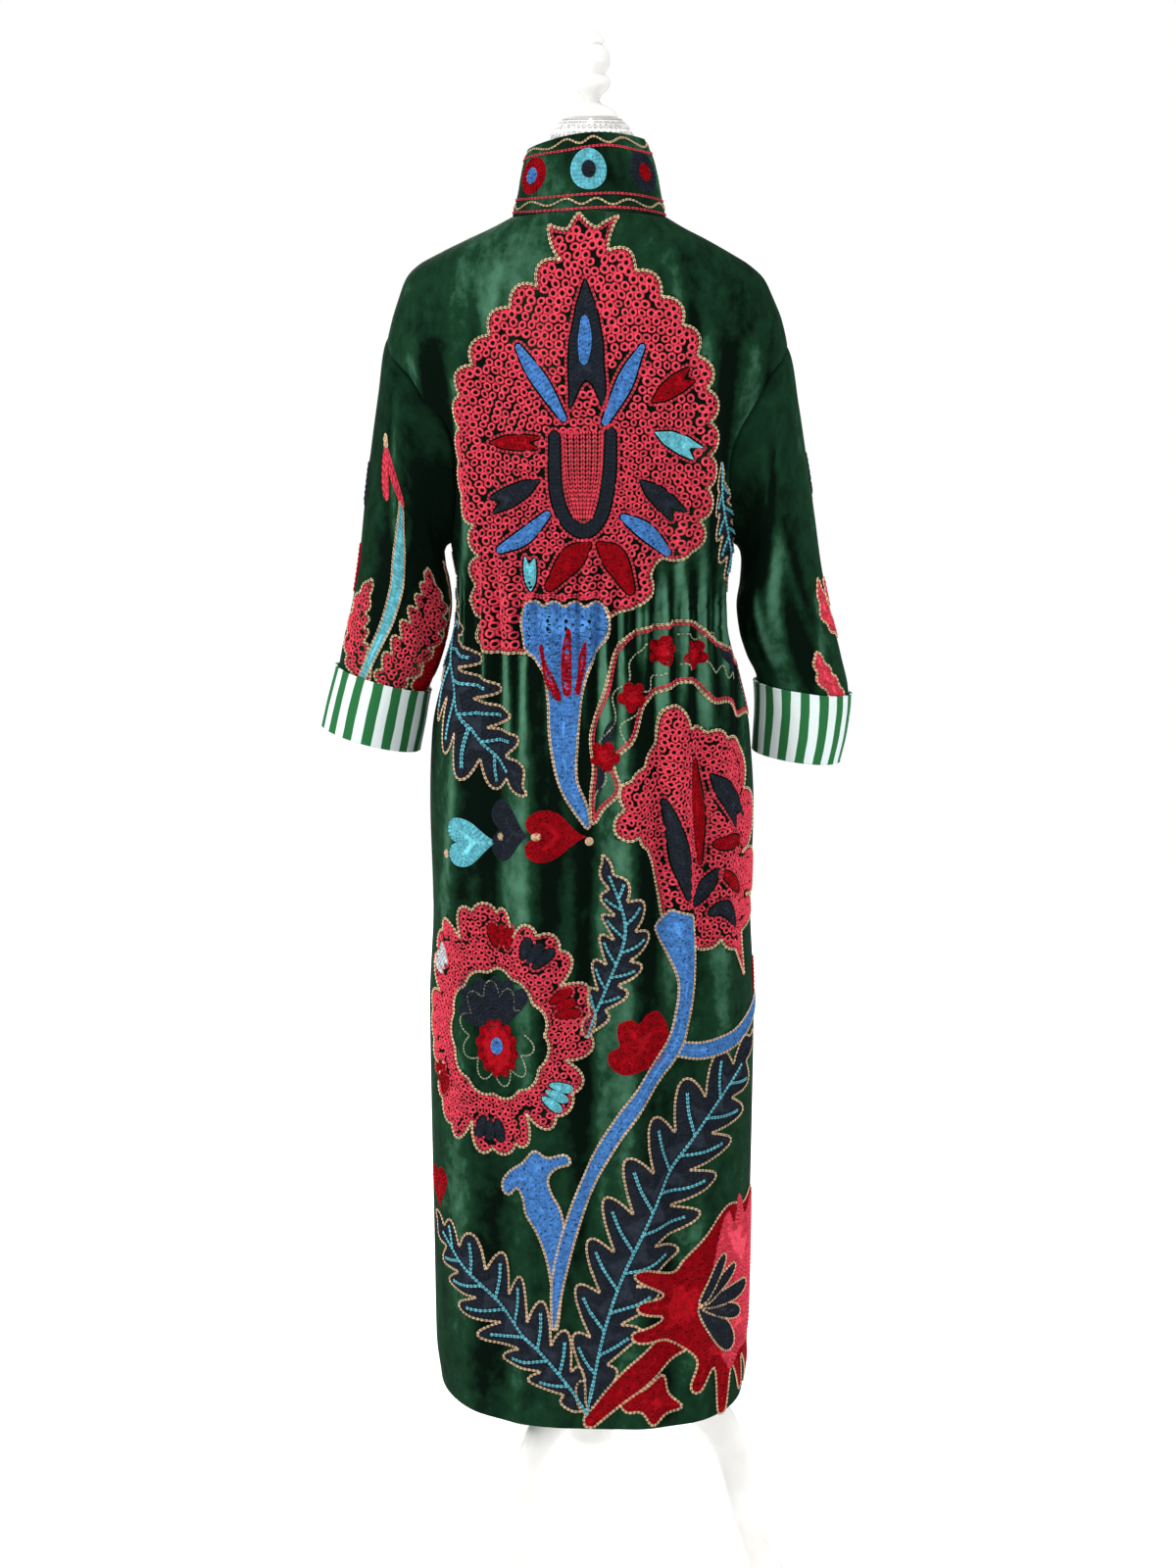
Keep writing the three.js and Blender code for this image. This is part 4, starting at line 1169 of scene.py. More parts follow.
finialProfile = [
    (20, 0), (24.6, 0.6), (25.4, 1.8), (24.8, 3.4), (22.4, 6.4), (18, 9.6), (12.6, 12), (9.5, 13.6),
    (7.6, 15.4), (7.4, 18), (8.6, 21), (11, 23.2), (14.5, 26.4), (17, 29.4), (18, 33), (17, 37),
    (14, 40), (12.4, 41.6), (13, 43.2), (15, 46), (16.8, 50), (17.4, 54), (17, 58.5), (15.4, 63),
    (12.6, 67), (10, 69), (10.4, 70.4), (11.9, 72), (11.4, 74), (9.6, 75.8), (7, 78.6), (4, 82),
    (1.5, 83.6), (0.3, 84),
]
hubProfile = [
    (8, 0), (11, 1), (14, 3.4), (18, 8), (21, 11), (23.4, 14.6), (24, 18), (24, 60), (24, 104), (23.2, 110),
    (20, 115), (18, 118), (16.6, 124), (16.6, 130), (18, 137), (21.4, 141), (23, 146), (23, 152),
    (21.4, 157), (18.4, 161), (18, 166), (17, 167.6), (14.4, 168),
]
poleProfile = [
    (14, 0), (14, 24), (15.5, 26), (18, 29), (18.6, 33), (18, 37), (15.5, 40), (14, 42), (14, 428),
    (15.5, 430), (17.6, 433), (18.2, 437), (17.6, 441), (15.5, 444), (14, 446), (14, 462),
]
# stations of a leg: reach and height of its middle, turn down from level, half thickness and half width
legStations = [
    (14, 219, 0, 27, 9), (34, 221, 0, 28, 11), (64, 222, 3, 29, 12), (96, 214, 22, 27, 12),
    (126, 194, 44, 24, 11.8), (146, 164, 62, 20, 11.4), (156, 126, 76, 16.5, 11),
    (161, 94, 80, 14, 10), (168, 62, 74, 12.6, 9.4), (178, 36, 66, 13, 9.8), (188, 16, 74, 17, 11),
    (191, 5, 90, 20, 12), (191, 0, 90, 19, 11.4),
]


def legPieces(material):
    bpy.ops.object.select_all(action="DESELECT")
    reach, height, turn, thick, wide = legStations[0]
    bpy.ops.mesh.primitive_circle_add(vertices=16, radius=mm, fill_type="NGON",
                                      rotation=(0, math.pi / 2, 0),
                                      location=(reach * mm, 0, height * mm))
    piece = bpy.context.object
    bpy.ops.object.transform_apply(location=True, rotation=True, scale=True)
    bpy.ops.object.mode_set(mode="EDIT")
    bpy.ops.mesh.select_all(action="SELECT")
    bpy.ops.transform.resize(value=(1, wide, thick), center_override=(reach * mm, 0, height * mm))
    for station in legStations[1:]:
        nextReach, nextHeight, nextTurn, nextThick, nextWide = station
        centre = (nextReach * mm, 0, nextHeight * mm)
        move = ((nextReach - reach) * mm, 0, (nextHeight - height) * mm)
        bpy.ops.mesh.extrude_region_move(TRANSFORM_OT_translate={"value": move})
        # level the section, size it, then turn it to its new slope
        for angle in (-turn, None, nextTurn):
            if angle is None:
                size = (1, nextWide / wide, nextThick / thick)
                bpy.ops.transform.resize(value=size, center_override=centre)
            elif angle:
                bpy.ops.transform.rotate(value=-math.radians(angle), orient_axis="Y",
                                         center_override=centre)
        reach, height, turn, thick, wide = station
    bpy.ops.mesh.select_all(action="SELECT")
    bpy.ops.mesh.normals_make_consistent(inside=False)
    bpy.ops.object.mode_set(mode="OBJECT")
    applyModifier(piece, "SUBSURF", levels=1)
    legs = [piece]
    for _ in range(2):
        copy = piece.copy()
        copy.data = piece.data.copy()
        bpy.context.scene.collection.objects.link(copy)
        legs.append(copy)
    for index, leg in enumerate(legs):
        pick(leg)
        leg.rotation_euler = (0, 0, math.pi + fullTurn * index / 3)
        hardPiece(leg, "cabriole_leg_" + str(index + 1), "stand_leg_" + str(index + 1), material, 60)


jersey = coverMaterial()
paint = paintMaterial()
torsoPiece(jersey)
turnedPiece("turned_finial", "form_finial", finialProfile, form["neckTop"] + 0.2, paint)
turnedPiece("turned_hub", "stand_hub", hubProfile, form["hubBottom"], paint)
turnedPiece("turned_pole", "stand_pole", poleProfile, form["hubTop"] - 4, paint)
legPieces(paint)
print("dress form and stand ready")

# Embroidery: worked shapes laid out on the cloth, a to the wearer's right and b up

yarnWork = {
    "backing": 0.5,  # how far a filled shape's ground stands off the cloth
    "grid": 4.5,
    "rowGap": 3.0,
    "stitch": 4.2,
    "rowWidth": 3.3,
    "ringPitch": 8.6,
    "ringOuter": 5.1,
    "ringInner": 1.9,
    "ringHeight": 1.4,
    "ringSides": 9,
    "gatherReach": 95,
    "gatherShare": 0.26,  # how far loops move in to a centre, and how much smaller they are there
    "gatherShrink": 0.24,
    "loopShade": 0.12,  # painted shade: share of the cloth's painted light left among loops
    "seed": 11,
}
worked = {}
covers = {}  # shapes that later work is laid under
loopFields = {}  # areas worked in loops
chance = np.random.default_rng(yarnWork["seed"])


def addWork(place, colour, points, faces, kind="rows"):
    # points are a, b and lift; faces are rows of corners
    worked.setdefault((place, colour, kind), []).append((np.asarray(points, float), np.asarray(faces, int)))


def evenly(line, step, closed=False):
    # points an even step apart along a line; columns past the first two come along
    line = np.asarray(line, float)
    if closed:
        line = np.vstack([line, line[:1]])
    lengths = np.concatenate([[0], np.cumsum(np.hypot(*np.diff(line[:, :2], axis=0).T))])
    count = max(3, round(lengths[-1] / step))
    at = np.linspace(0, lengths[-1], count + 1)
    spaced = np.stack([np.interp(at, lengths, column) for column in line.T], -1)
    return spaced[:-1] if closed else spaced


def curveThrough(points, closed=False, steps=12):
    points = np.asarray(points, float)
    if closed:
        around = np.concatenate([points[-1:], points, points[:2]])
    else:
        around = np.concatenate([2 * points[:1] - points[1:2], points, 2 * points[-1:] - points[-2:-1]])
    t = np.linspace(0, 1, steps, endpoint=False)[None, :, None]
    p, q, r, s = (around[k:len(around) - 3 + k, None] for k in range(4))
    squared, cubed = 2 * p - 5 * q + 4 * r - s, 3 * q - p - 3 * r + s
    line = 0.5 * (2 * q + (r - p) * t + squared * t ** 2 + cubed * t ** 3)
    line = line.reshape(-1, points.shape[1])
    return line if closed else np.vstack([line, points[-1:]])


def directions(line, closed=False):
    # unit tangents, and normals to the left of the way along
    line = line[:, :2]
    way = np.roll(line, -1, 0) - np.roll(line, 1, 0) if closed else np.gradient(line, axis=0)
    way = way / np.maximum(np.linalg.norm(way, axis=1, keepdims=True), 1e-9)
    return way, np.stack([-way[:, 1], way[:, 0]], -1)


def band(rows, step=3.0):
    # an outline either side of a spine, from rows of a, b and full width
    line = evenly(curveThrough(rows), step)
    way, normal = directions(line)
    half = line[:, 2:3] / 2
    ends = line[[0, -1], :2] + way[[0, -1]] * line[[0, -1], 2:3] * [[-0.35], [0.35]]
    return np.vstack([ends[:1], line[:, :2] + normal * half, ends[1:], (line[:, :2] - normal * half)[::-1]])


def lobes(path, pitch, bulge, step=2.0):
    # a scalloped line: round lobes with sharp notches, bulging to the left of the way along
    notches = evenly(curveThrough(path), pitch)
    return arcs(np.column_stack([notches, np.full(len(notches), bulge)]), step)


def arcs(rows, step=2.0):
    # arcs from each point to the next, bulging left by a share of the chord
    rows = np.asarray(rows, float)
    parts = []
    for start, end in zip(rows[:-1], rows[1:]):
        chord = end[:2] - start[:2]
        t = np.linspace(0, 1, max(3, int(np.hypot(*chord) / step)), endpoint=False)[:, None]
        across = np.array([-chord[1], chord[0]])
        parts.append(start[:2] + chord * t + across * start[2] * np.sin(math.pi * t) ** 0.7)
    return np.vstack(parts + [rows[-1:, :2]])


def placed(shape, centre, turn=0.0, size=1.0):
    # turn is in degrees anticlockwise
    cosine, sine = math.cos(math.radians(turn)), math.sin(math.radians(turn))
    return np.asarray(shape, float) * size @ np.array([[cosine, sine], [-sine, cosine]]) + centre


def forked(start, end, width, notch=0.26):
    # a brush-stroke leaf, pointed at its start and split at its end
    start, end = np.array(start, float), np.array(end, float)
    shape = [(0, 0), (0.3, 0.40), (0.65, 0.5), (1, 0.34), (1 - notch, 0.02), (0.94, -0.42), (0.6, -0.46),
             (0.25, -0.34)]
    way = end - start
    turn = math.degrees(math.atan2(way[1], way[0]))
    return placed(np.array(shape) * [np.hypot(*way), width], start, turn)


def petal(base, turn, length, width):
    t = np.linspace(0, math.pi, 14)
    side = np.sin(t) ** 0.9 * (1 - 0.25 * np.cos(t)) * width / 2
    along = length * (1 - np.cos(t)) / 2
    outline = np.vstack([np.stack([along, side], -1), np.stack([along, -side], -1)[-2:0:-1]])
    return placed(outline, base, turn)


def heart(centre, width, height, turn):
    t = np.linspace(0, fullTurn, 60, endpoint=False)
    x = np.sin(t) ** 3 * width / 2
    y = (13 * np.cos(t) - 5 * np.cos(2 * t) - 2 * np.cos(3 * t) - np.cos(4 * t) + 2.5) / 29 * height
    return placed(np.stack([x, y], -1), centre, turn)


def roundFlower(centre, reachA, reachB, petals, depth, turn=0.0, power=0.6, count=150):
    t = np.linspace(0, fullTurn, count, endpoint=False)
    reach = 1 - depth + depth * np.abs(np.sin(petals * t / 2)) ** power
    return placed(np.stack([reachA * reach * np.cos(t), reachB * reach * np.sin(t)], -1), centre, turn)


def oval(centre, reachA, reachB, count=16):
    return roundFlower(centre, reachA, reachB, 1, 0.0, count=count)


def toothedLeaf(rows, pitch, lean=0.75, notch=0.30):
    # a leaf with finger-like teeth that lean to its tip, and its veins
    line = evenly(curveThrough(rows), 1.5)
    way, normal = directions(line)
    lengths = np.arange(len(line)) * 1.5
    count = max(3, round(lengths[-1] / pitch))
    outline, veins = [line[:1, :2]], [line[: int(len(line) * 0.9), :2]]
    for side in (1, -1):
        phase = lengths / lengths[-1] * count + (0.25 if side > 0 else -0.20)
        phase = np.clip(phase, 0, count)
        finger = np.abs(np.sin(math.pi * phase)) ** 0.8
        half = line[:, 2] / 2
        out = half * (notch + (1 - notch) * finger)
        edge = line[:, :2] + normal * (side * out)[:, None] + way * (lean * (out - notch * half))[:, None]
        outline.append(edge[1:-1] if side > 0 else edge[-2:0:-1])
        if side > 0:
            outline.append(line[-1:, :2])
        for tooth in range(1, count - 1):
            at = int(np.argmin(np.abs(phase - tooth - 0.5)))
            root = max(0, at - int(0.28 * pitch / 1.5))
            tip = line[at, :2] * 0.25 + edge[at] * 0.75
            bend = (line[root, :2] + tip) / 2 + normal[root] * side * 0.06 * half[at]
            veins.append(curveThrough([line[root, :2], bend, tip]))
    return np.vstack(outline), veins


def insideOf(points, outline):
    x, y = points[:, 0, None], points[:, 1, None]
    ax, ay = outline[:, 0], outline[:, 1]
    bx, by = np.roll(ax, -1), np.roll(ay, -1)
    crosses = (ay > y) != (by > y)
    where = ax + (y - ay) / np.where(by == ay, 1e-9, by - ay) * (bx - ax)
    return (crosses & (x < where)).sum(axis=1) % 2 == 1


def edgeDistance(points, outline):
    start, end = outline, np.roll(outline, -1, 0)
    way = end - start
    away = points[:, None] - start[None]
    share = np.clip((away * way).sum(-1) / np.maximum((way * way).sum(-1), 1e-9), 0, 1)
    return np.sqrt(((away - way * share[..., None]) ** 2).sum(-1).min(axis=1))


# one strand of a chain stitch: along, across and up, for a stitch of unit length and width
strand = np.array([
    (-0.68, 0.06, 0.25), (0.56, 0.27, 0.50), (0, 0.46, 0.30), (0, 0.03, 0.30), (0, 0.24, 1),
    (0, 0.24, -0.25),
])
mirrored = (strand * [1, -1, 1])[[0, 1, 3, 2, 4, 5]]
strandFaces = np.array([
    (1, 2, 4), (2, 0, 4), (0, 3, 4), (3, 1, 4), (2, 1, 5), (0, 2, 5), (3, 0, 5), (1, 3, 5),
])


def chain(place, colour, line, width=None, closed=False, lift=0.25, stitch=None):
    width = width or yarnWork["rowWidth"]
    line = evenly(line, stitch or yarnWork["stitch"], closed)
    ends = np.roll(line, -1, 0) if closed else line[1:]
    starts = line if closed else line[:-1]
    middle = (starts + ends) / 2
    for shape in covers.get(place, ()):
        keep = ~insideOf(middle, shape)
        starts, ends, middle = starts[keep], ends[keep], middle[keep]
    if len(middle) == 0:
        return
    way = ends - starts
    length = np.maximum(np.hypot(*way.T), 1e-6)
    way = way / length[:, None]
    normal = np.stack([-way[:, 1], way[:, 0]], -1)
    link = np.concatenate([strand, mirrored])
    flat = (middle[:, None] + way[:, None] * (link[:, 0] * length[:, None])[..., None]
            + normal[:, None] * (link[:, 1] * width)[None, :, None])
    up = np.broadcast_to(lift + link[:, 2] * 0.42 * width, flat.shape[:2])
    points = np.concatenate([flat, up[..., None]], -1).reshape(-1, 3)
    faces = np.concatenate([strandFaces, strandFaces + len(strand)])
    faces = (faces[None] + np.arange(len(middle))[:, None, None] * len(link)).reshape(-1, 3)
    addWork(place, colour, points, faces)


def cover(place, outline):
    covers.setdefault(place, []).append(evenly(outline, 3.0, closed=True))


def ground(place, colour, outline, lift):
    # the worked area under the rows, as a thin layer with its edge turned down to the cloth
    edge = evenly(outline, 3.0, closed=True)
    low, high = edge.min(axis=0), edge.max(axis=0)
    grid = yarnWork["grid"]
    a, b = np.meshgrid(np.arange(low[0], high[0], grid), np.arange(low[1], high[1], grid * 0.87))
    a = a + (np.arange(len(a)) % 2)[:, None] * grid / 2
    inner = np.stack([a.ravel(), b.ravel()], -1)
    if len(inner):
        inner = inner[insideOf(inner, edge)]
    if len(inner):
        inner = inner[edgeDistance(inner, edge) > 2.0]
    corners = [Vector(point) for point in np.vstack([edge, inner])]
    flat, _, faces, _, _, _ = delaunay_2d_cdt(corners, [], [list(range(len(edge)))], 1, 1e-4)
    flat, faces = np.array([tuple(point) for point in flat]), np.array(faces)
    sides = {(int(face[k]), int(face[(k + 1) % 3])) for face in faces for k in range(3)}
    rim = np.array([side for side in sides if side[::-1] not in sides])
    count = len(flat)
    up = np.full(count, lift)
    up[np.unique(rim)] = lift * 0.7
    points = np.column_stack([np.vstack([flat, flat]), np.concatenate([up, np.full(count, -0.3)])])
    skirt = np.column_stack([rim[:, 1], rim[:, 0], rim[:, 0] + count, rim[:, 1] + count])
    addWork(place, colour, points, faces)
    addWork(place, colour, points, skirt)


def insetRows(outline, gap, first):
    # lines that follow an outline inside it, a gap apart
    edge = evenly(outline, 2.2, closed=True)
    normal = inwards(edge)
    depth = first
    while True:
        moved = edge + normal * depth
        keep = insideOf(moved, edge) & (edgeDistance(moved, edge) > depth - 0.35)
        if keep.sum() < 3:
            return
        starts = np.flatnonzero(~keep)
        if len(starts) == 0:
            yield moved, True
        else:
            order = np.roll(np.arange(len(edge)), -starts[0])
            runs = np.split(order, np.flatnonzero(np.diff(keep[order].astype(int)) != 0) + 1)
            for run in runs:
                if keep[run[0]] and len(run) >= 3:
                    yield moved[run], False
        depth += gap


def filled(place, colour, outline, rise=0.0, first=None, gap=None):
    # a shape filled with rows that follow its outline, raised where it lies over another
    gap = gap or yarnWork["rowGap"]
    ground(place, colour, outline, rise + yarnWork["backing"])
    for row, closed in insetRows(outline, gap, gap / 2 if first is None else first):
        chain(place, colour, row, gap * 1.05, closed, rise + 0.35)


def edged(place, colour, outline, width=3.0, rise=0.0):
    # filled rows with a tan row laid round them
    filled(place, colour, outline, rise, first=width * 0.9)
    chain(place, "tan", outline, width, True, rise + 0.4)


def outsideRow(outline, away):
    # a line round a shape, a little outside it
    edge = evenly(outline, 2.4, closed=True)
    moved = edge - inwards(edge) * away
    return moved[edgeDistance(moved, edge) > away - 0.6]


def veined(place, colour, veinColour, rows, pitch, width):
    outline, veins = toothedLeaf(rows, pitch)
    edged(place, colour, outline)
    for vein in veins:
        chain(place, veinColour, vein, width, False, 1.5)


def cupped(rows, count, depth):
    # a band whose first end flares into round lobes
    outline = band(rows)[1:]
    start, end = outline[-1], outline[0]
    t = np.linspace(0, 1, 40)[1:-1, None]
    rise = np.array([-(end - start)[1], (end - start)[0]]) / np.hypot(*(end - start))
    top = start + (end - start) * t + rise * depth * np.abs(np.sin(math.pi * count * t)) ** 0.6
    return np.vstack([outline, top])


def wander(points, reach, waves, phase=0.0):
    # a line that swings from side to side of its course
    line = evenly(curveThrough(points), 1.5)
    way, normal = directions(line)
    t = np.linspace(0, 1, len(line))
    swing = np.sin(fullTurn * waves * t + phase + 0.8 * np.sin(fullTurn * t * 1.3))
    return line + normal * (reach * swing * np.minimum(1, 6 * np.minimum(t, 1 - t)))[:, None]


def inwards(edge):
    # normals of a closed line that point into it
    way, normal = directions(edge, closed=True)
    area = (edge[:, 0] * np.roll(edge[:, 1], -1) - np.roll(edge[:, 0], -1) * edge[:, 1]).sum()
    return normal if area > 0 else -normal


def spread(spots, apart):
    # drop the spots that lie too near an earlier one
    kept = []
    for spot in spots:
        if all(np.hypot(*(spot - other)) > apart for other in kept):
            kept.append(spot)
    return np.array(kept).reshape(-1, 2)


def gapSpots(edge, spots, inset, apart):
    # places where one more loop still fits
    tree = KDTree(len(spots))
    for index, spot in enumerate(spots):
        tree.insert((*spot, 0), index)
    tree.balance()
    low, high = edge.min(axis=0), edge.max(axis=0)
    a, b = np.meshgrid(np.arange(low[0], high[0], 2.6), np.arange(low[1], high[1], 2.6))
    trial = np.stack([a.ravel(), b.ravel()], -1)
    trial = trial[insideOf(trial, edge)]
    trial = [spot for spot in trial[edgeDistance(trial, edge) > inset] if tree.find((*spot, 0))[2] > apart]
    return spread(trial, apart)


def ringField(place, colour, outline, holes=(), gather=None, scale=1.0):
    # small loops worked side by side, one row along the edge, and closer together round a centre
    pitch, outer = yarnWork["ringPitch"] * scale, yarnWork["ringOuter"] * scale
    edge = evenly(outline, 3.0, closed=True)
    inset = outer + 2.6
    border = evenly(edge + inwards(edge) * inset, pitch * 0.92, closed=True)
    border = border[insideOf(border, edge) & (edgeDistance(border, edge) > inset - 1.0)]
    border = spread(border, pitch * 0.72)
    low, high = edge.min(axis=0) - 60, edge.max(axis=0) + 60
    a, b = np.meshgrid(np.arange(low[0], high[0], pitch), np.arange(low[1], high[1], pitch * 0.87))
    a = a + (np.arange(len(a)) % 2)[:, None] * pitch / 2
    spots = np.stack([a.ravel(), b.ravel()], -1)
    spots += 2.6 * np.stack([np.sin(spots[:, 1] / 19), np.sin(spots[:, 0] / 23)], -1)
    spots += chance.uniform(-0.8, 0.8, spots.shape)
    size = chance.uniform(0.90, 1.08, len(spots)) * scale
    if gather:
        away = spots - gather
        near = np.exp(-(np.hypot(*away.T) / yarnWork["gatherReach"]) ** 2)
        spots = gather + away * (1 - yarnWork["gatherShare"] * near)[:, None]
        size *= 1 - yarnWork["gatherShrink"] * near
    keep = insideOf(spots, edge)
    spots, size = spots[keep], size[keep]
    keep = edgeDistance(spots, edge) > inset + pitch * 0.30
    spots, size = spots[keep], size[keep]
    if len(border):
        keep = np.hypot(*(spots[:, None] - border[None]).transpose(2, 0, 1)).min(axis=1) > pitch * 0.78
        spots = np.vstack([border, spots[keep]])
        size = np.concatenate([np.full(len(border), scale), size[keep]])
    more = gapSpots(edge, spots, inset * 0.86, pitch * 0.76)
    spots, size = np.vstack([spots, more]), np.concatenate([size, np.full(len(more), 0.9 * scale)])
    for hole in [evenly(hole, 3.0, closed=True) for hole in holes] + covers.get(place, []):
        clear = yarnWork["ringOuter"] * size * 0.65 + 1.2
        keep = ~insideOf(spots, hole) & (edgeDistance(spots, hole) > clear)
        spots, size = spots[keep], size[keep]
    rings(place, colour, spots, size)
    loopFields.setdefault(place, []).append((outline, holes))


def shadeUnderLoops(piece, places):
    # painted shade: the cloth's colour is darkened under fields of close loops
    attributes = piece.data.attributes
    values = {}
    for key in ("across", "up", "nap"):
        values[key] = np.zeros(len(piece.data.vertices), np.float32)
        attributes[key].data.foreach_get("value", values[key])
    spots = np.stack([values["across"], values["up"]], -1).astype(float)
    for outline, holes in places:
        edge = evenly(outline, 4.0, closed=True)
        near = np.flatnonzero(((spots > edge.min(axis=0)) & (spots < edge.max(axis=0))).all(axis=1))
        near = near[insideOf(spots[near], edge)]
        for hole in holes:
            near = near[~insideOf(spots[near], evenly(hole, 4.0, closed=True))]
        values["nap"][near] *= yarnWork["loopShade"]
    attributes["nap"].data.foreach_set("value", values["nap"])
    for key in ("across", "up"):
        attributes.remove(attributes[key])


def rings(place, colour, spots, size):
    sides = yarnWork["ringSides"]
    turns = np.arange(sides) / sides * fullTurn
    outerEdge, innerEdge, high = yarnWork["ringOuter"], yarnWork["ringInner"], yarnWork["ringHeight"]
    profile = np.array([(outerEdge, -0.2), ((outerEdge + innerEdge) / 2, high), (innerEdge, -0.2)])
    stretch = chance.uniform(0.76, 1.0, (len(spots), 1, 1))
    start = chance.uniform(0, fullTurn, (len(spots), 1, 1))
    around = turns[None, :, None]
    x = profile[None, None, :, 0] * np.cos(around)
    y = profile[None, None, :, 0] * np.sin(around) * stretch
    turned = np.stack([x * np.cos(start) - y * np.sin(start), x * np.sin(start) + y * np.cos(start)], -1)
    flat = spots[:, None, None] + turned * size[:, None, None, None]
    up = np.broadcast_to(profile[None, None, :, 1], flat.shape[:-1])
    points = np.concatenate([flat, up[..., None]], -1).reshape(-1, 3)
    count = len(profile)
    j, k = np.meshgrid(np.arange(sides), np.arange(count), indexing="ij")
    nextJ, nextK = (j + 1) % sides, (k + 1) % count
    faces = np.stack([j * count + k, nextJ * count + k, nextJ * count + nextK, j * count + nextK], -1)
    faces = faces.reshape(-1, 4)
    faces = (faces[None] + np.arange(len(spots))[:, None, None] * sides * count).reshape(-1, 4)
    addWork(place, colour, points, faces, "loops")


# The back: a palmette on a trumpet flower, leaves, hearts, a rosette and a pomegranate on long stems

def onLoops(motifs):
    # motifs in a field of loops, each with a row of the field's yarn round it
    for colour, shape in motifs:
        filled("back", colour, shape)
        chain("back", "pink", outsideRow(shape, 3.0), 2.8, True)
        cover("back", shape)


def fieldEdge(outline, side=-1):
    # a tan row round a field of loops, and a pink one within the field
    chain("back", "tan", outline, None, True, 0.5)
    chain("back", "pink", outsideRow(outline[::side], 3.0 * side), 2.8, True)


def trumpetFlower():
    cup = cupped([(-27, 1073, 82), (-27, 1057, 86), (-27, 1040, 78), (-26, 1026, 58), (-25, 1008, 41),
                  (-26, 984, 32), (-27, 950, 27), (-24, 910, 19), (-12, 884, 14), (-4, 864, 5)], 4, 8)
    edged("back", "blue", cup, rise=0.2)
    for sliver in ([(-51, 1038, 3), (-43, 1010, 8), (-32, 986, 7)],
                   [(-23, 1054, 3), (-24, 1022, 9), (-23, 992, 8)],
                   [(-6, 1042, 3), (-9, 1018, 8), (-14, 992, 6)]):
        filled("back", "red", band(sliver), 1.4)
    rim = cup[cup[:, 1] > 1064]  # one row of the palmette's yarn follows the lip
    rim = rim[np.argsort(rim[:, 0])]
    chain("back", "pink", curveThrough(rim[::5] + [0, 6.4]), 5.4)
    cover("back", cup)


def palmette():
    lobePitch, lobeBulge = 32, 0.36
    crown = arcs([(-22, 1404, 0.10), (-38, 1436, -0.08), (-18, 1431, 0.05), (-9, 1447, -0.1),
                  (9, 1432, 0.05), (30, 1444, -0.1), (22, 1412, 0)])
    right = lobes([(22, 1412), (52, 1392), (76, 1366), (102, 1326), (112, 1290), (114, 1236), (114, 1196),
                   (104, 1150), (98, 1128)], lobePitch, lobeBulge)
    base = arcs([(98, 1128, 0.20), (70, 1124, -0.10), (56, 1104, 0.25), (55, 1084, 0.10), (30, 1072, 0),
                 (-10, 1052, 0), (-60, 1030, 0), (-106, 1028, 0)])
    left = lobes([(-106, 1028), (-118, 1064), (-124, 1098), (-112, 1132), (-122, 1164), (-138, 1194),
                  (-131, 1238), (-130, 1272), (-114, 1302), (-96, 1330), (-78, 1356), (-58, 1374),
                  (-38, 1386), (-22, 1404)], lobePitch, lobeBulge)
    outline = np.vstack([crown[:-1], right[:-1], base[:-1], left[:-1]])
    lancet = np.array([(0, 1388), (9, 1362), (15, 1328), (15, 1292), (12, 1268), (4, 1291), (-3, 1297),
                       (-10, 1288), (-20, 1268), (-18, 1300), (-16, 1332), (-9, 1364)])
    filled("back", "blue", band([(-2, 1353, 7), (-2, 1332, 13), (-3, 1312, 8)]), 1.2)
    motifs = [
        ("navy", lancet),
        ("navy", band([(-36, 1244, 9), (-35, 1192, 11), (-26, 1163, 11), (-8, 1150, 12), (8, 1164, 11),
                       (16, 1200, 11), (18, 1248, 9)])),
        ("blue", band([(-66, 1327, 5), (-48, 1297, 15), (-26, 1258, 6)])),
        ("blue", band([(53, 1327, 5), (34, 1293, 15), (12, 1254, 6)])),
        ("red", forked((-101, 1235), (-48, 1236), 15)),
        ("red", forked((58, 1274), (102, 1302), 18)),
        ("turquoise", forked((60, 1246), (106, 1224), 19)),
        ("navy", forked((-50, 1200), (-102, 1172), 20)),
        ("navy", forked((46, 1200), (88, 1163), 20)),
        ("turquoise", forked((-60, 1090), (-62, 1126), 14)),
        ("blue", band([(-92, 1130, 7), (-66, 1145, 15), (-42, 1168, 6)])),
        ("blue", band([(29, 1165, 6), (52, 1150, 16), (76, 1127, 7)])),
        ("red", band([(-3, 1138, 5), (-19, 1124, 23), (-42, 1094, 8)])),
        ("red", band([(6, 1138, 5), (21, 1124, 23), (38, 1090, 8)])),
    ]
    onLoops(motifs)
    # long rows run down into the bowl of the horseshoe
    rowPitch, middle = 5.8, -9
    for k in range(-3, 4):
        run = [(rowPitch * k * share + middle, b) for share, b in ((1, 1248), (0.9, 1204), (0.4, 1163))]
        chain("back", "pink", curveThrough(run), 5.4)
    shaft = band([(-9, 1240, 40), (-9, 1196, 38), (-8, 1160, 20)])[1:-1]
    ringField("back", "pink", outline, [shaft], gather=(-9, 1190))
    fieldEdge(outline)
    cover("back", outline)


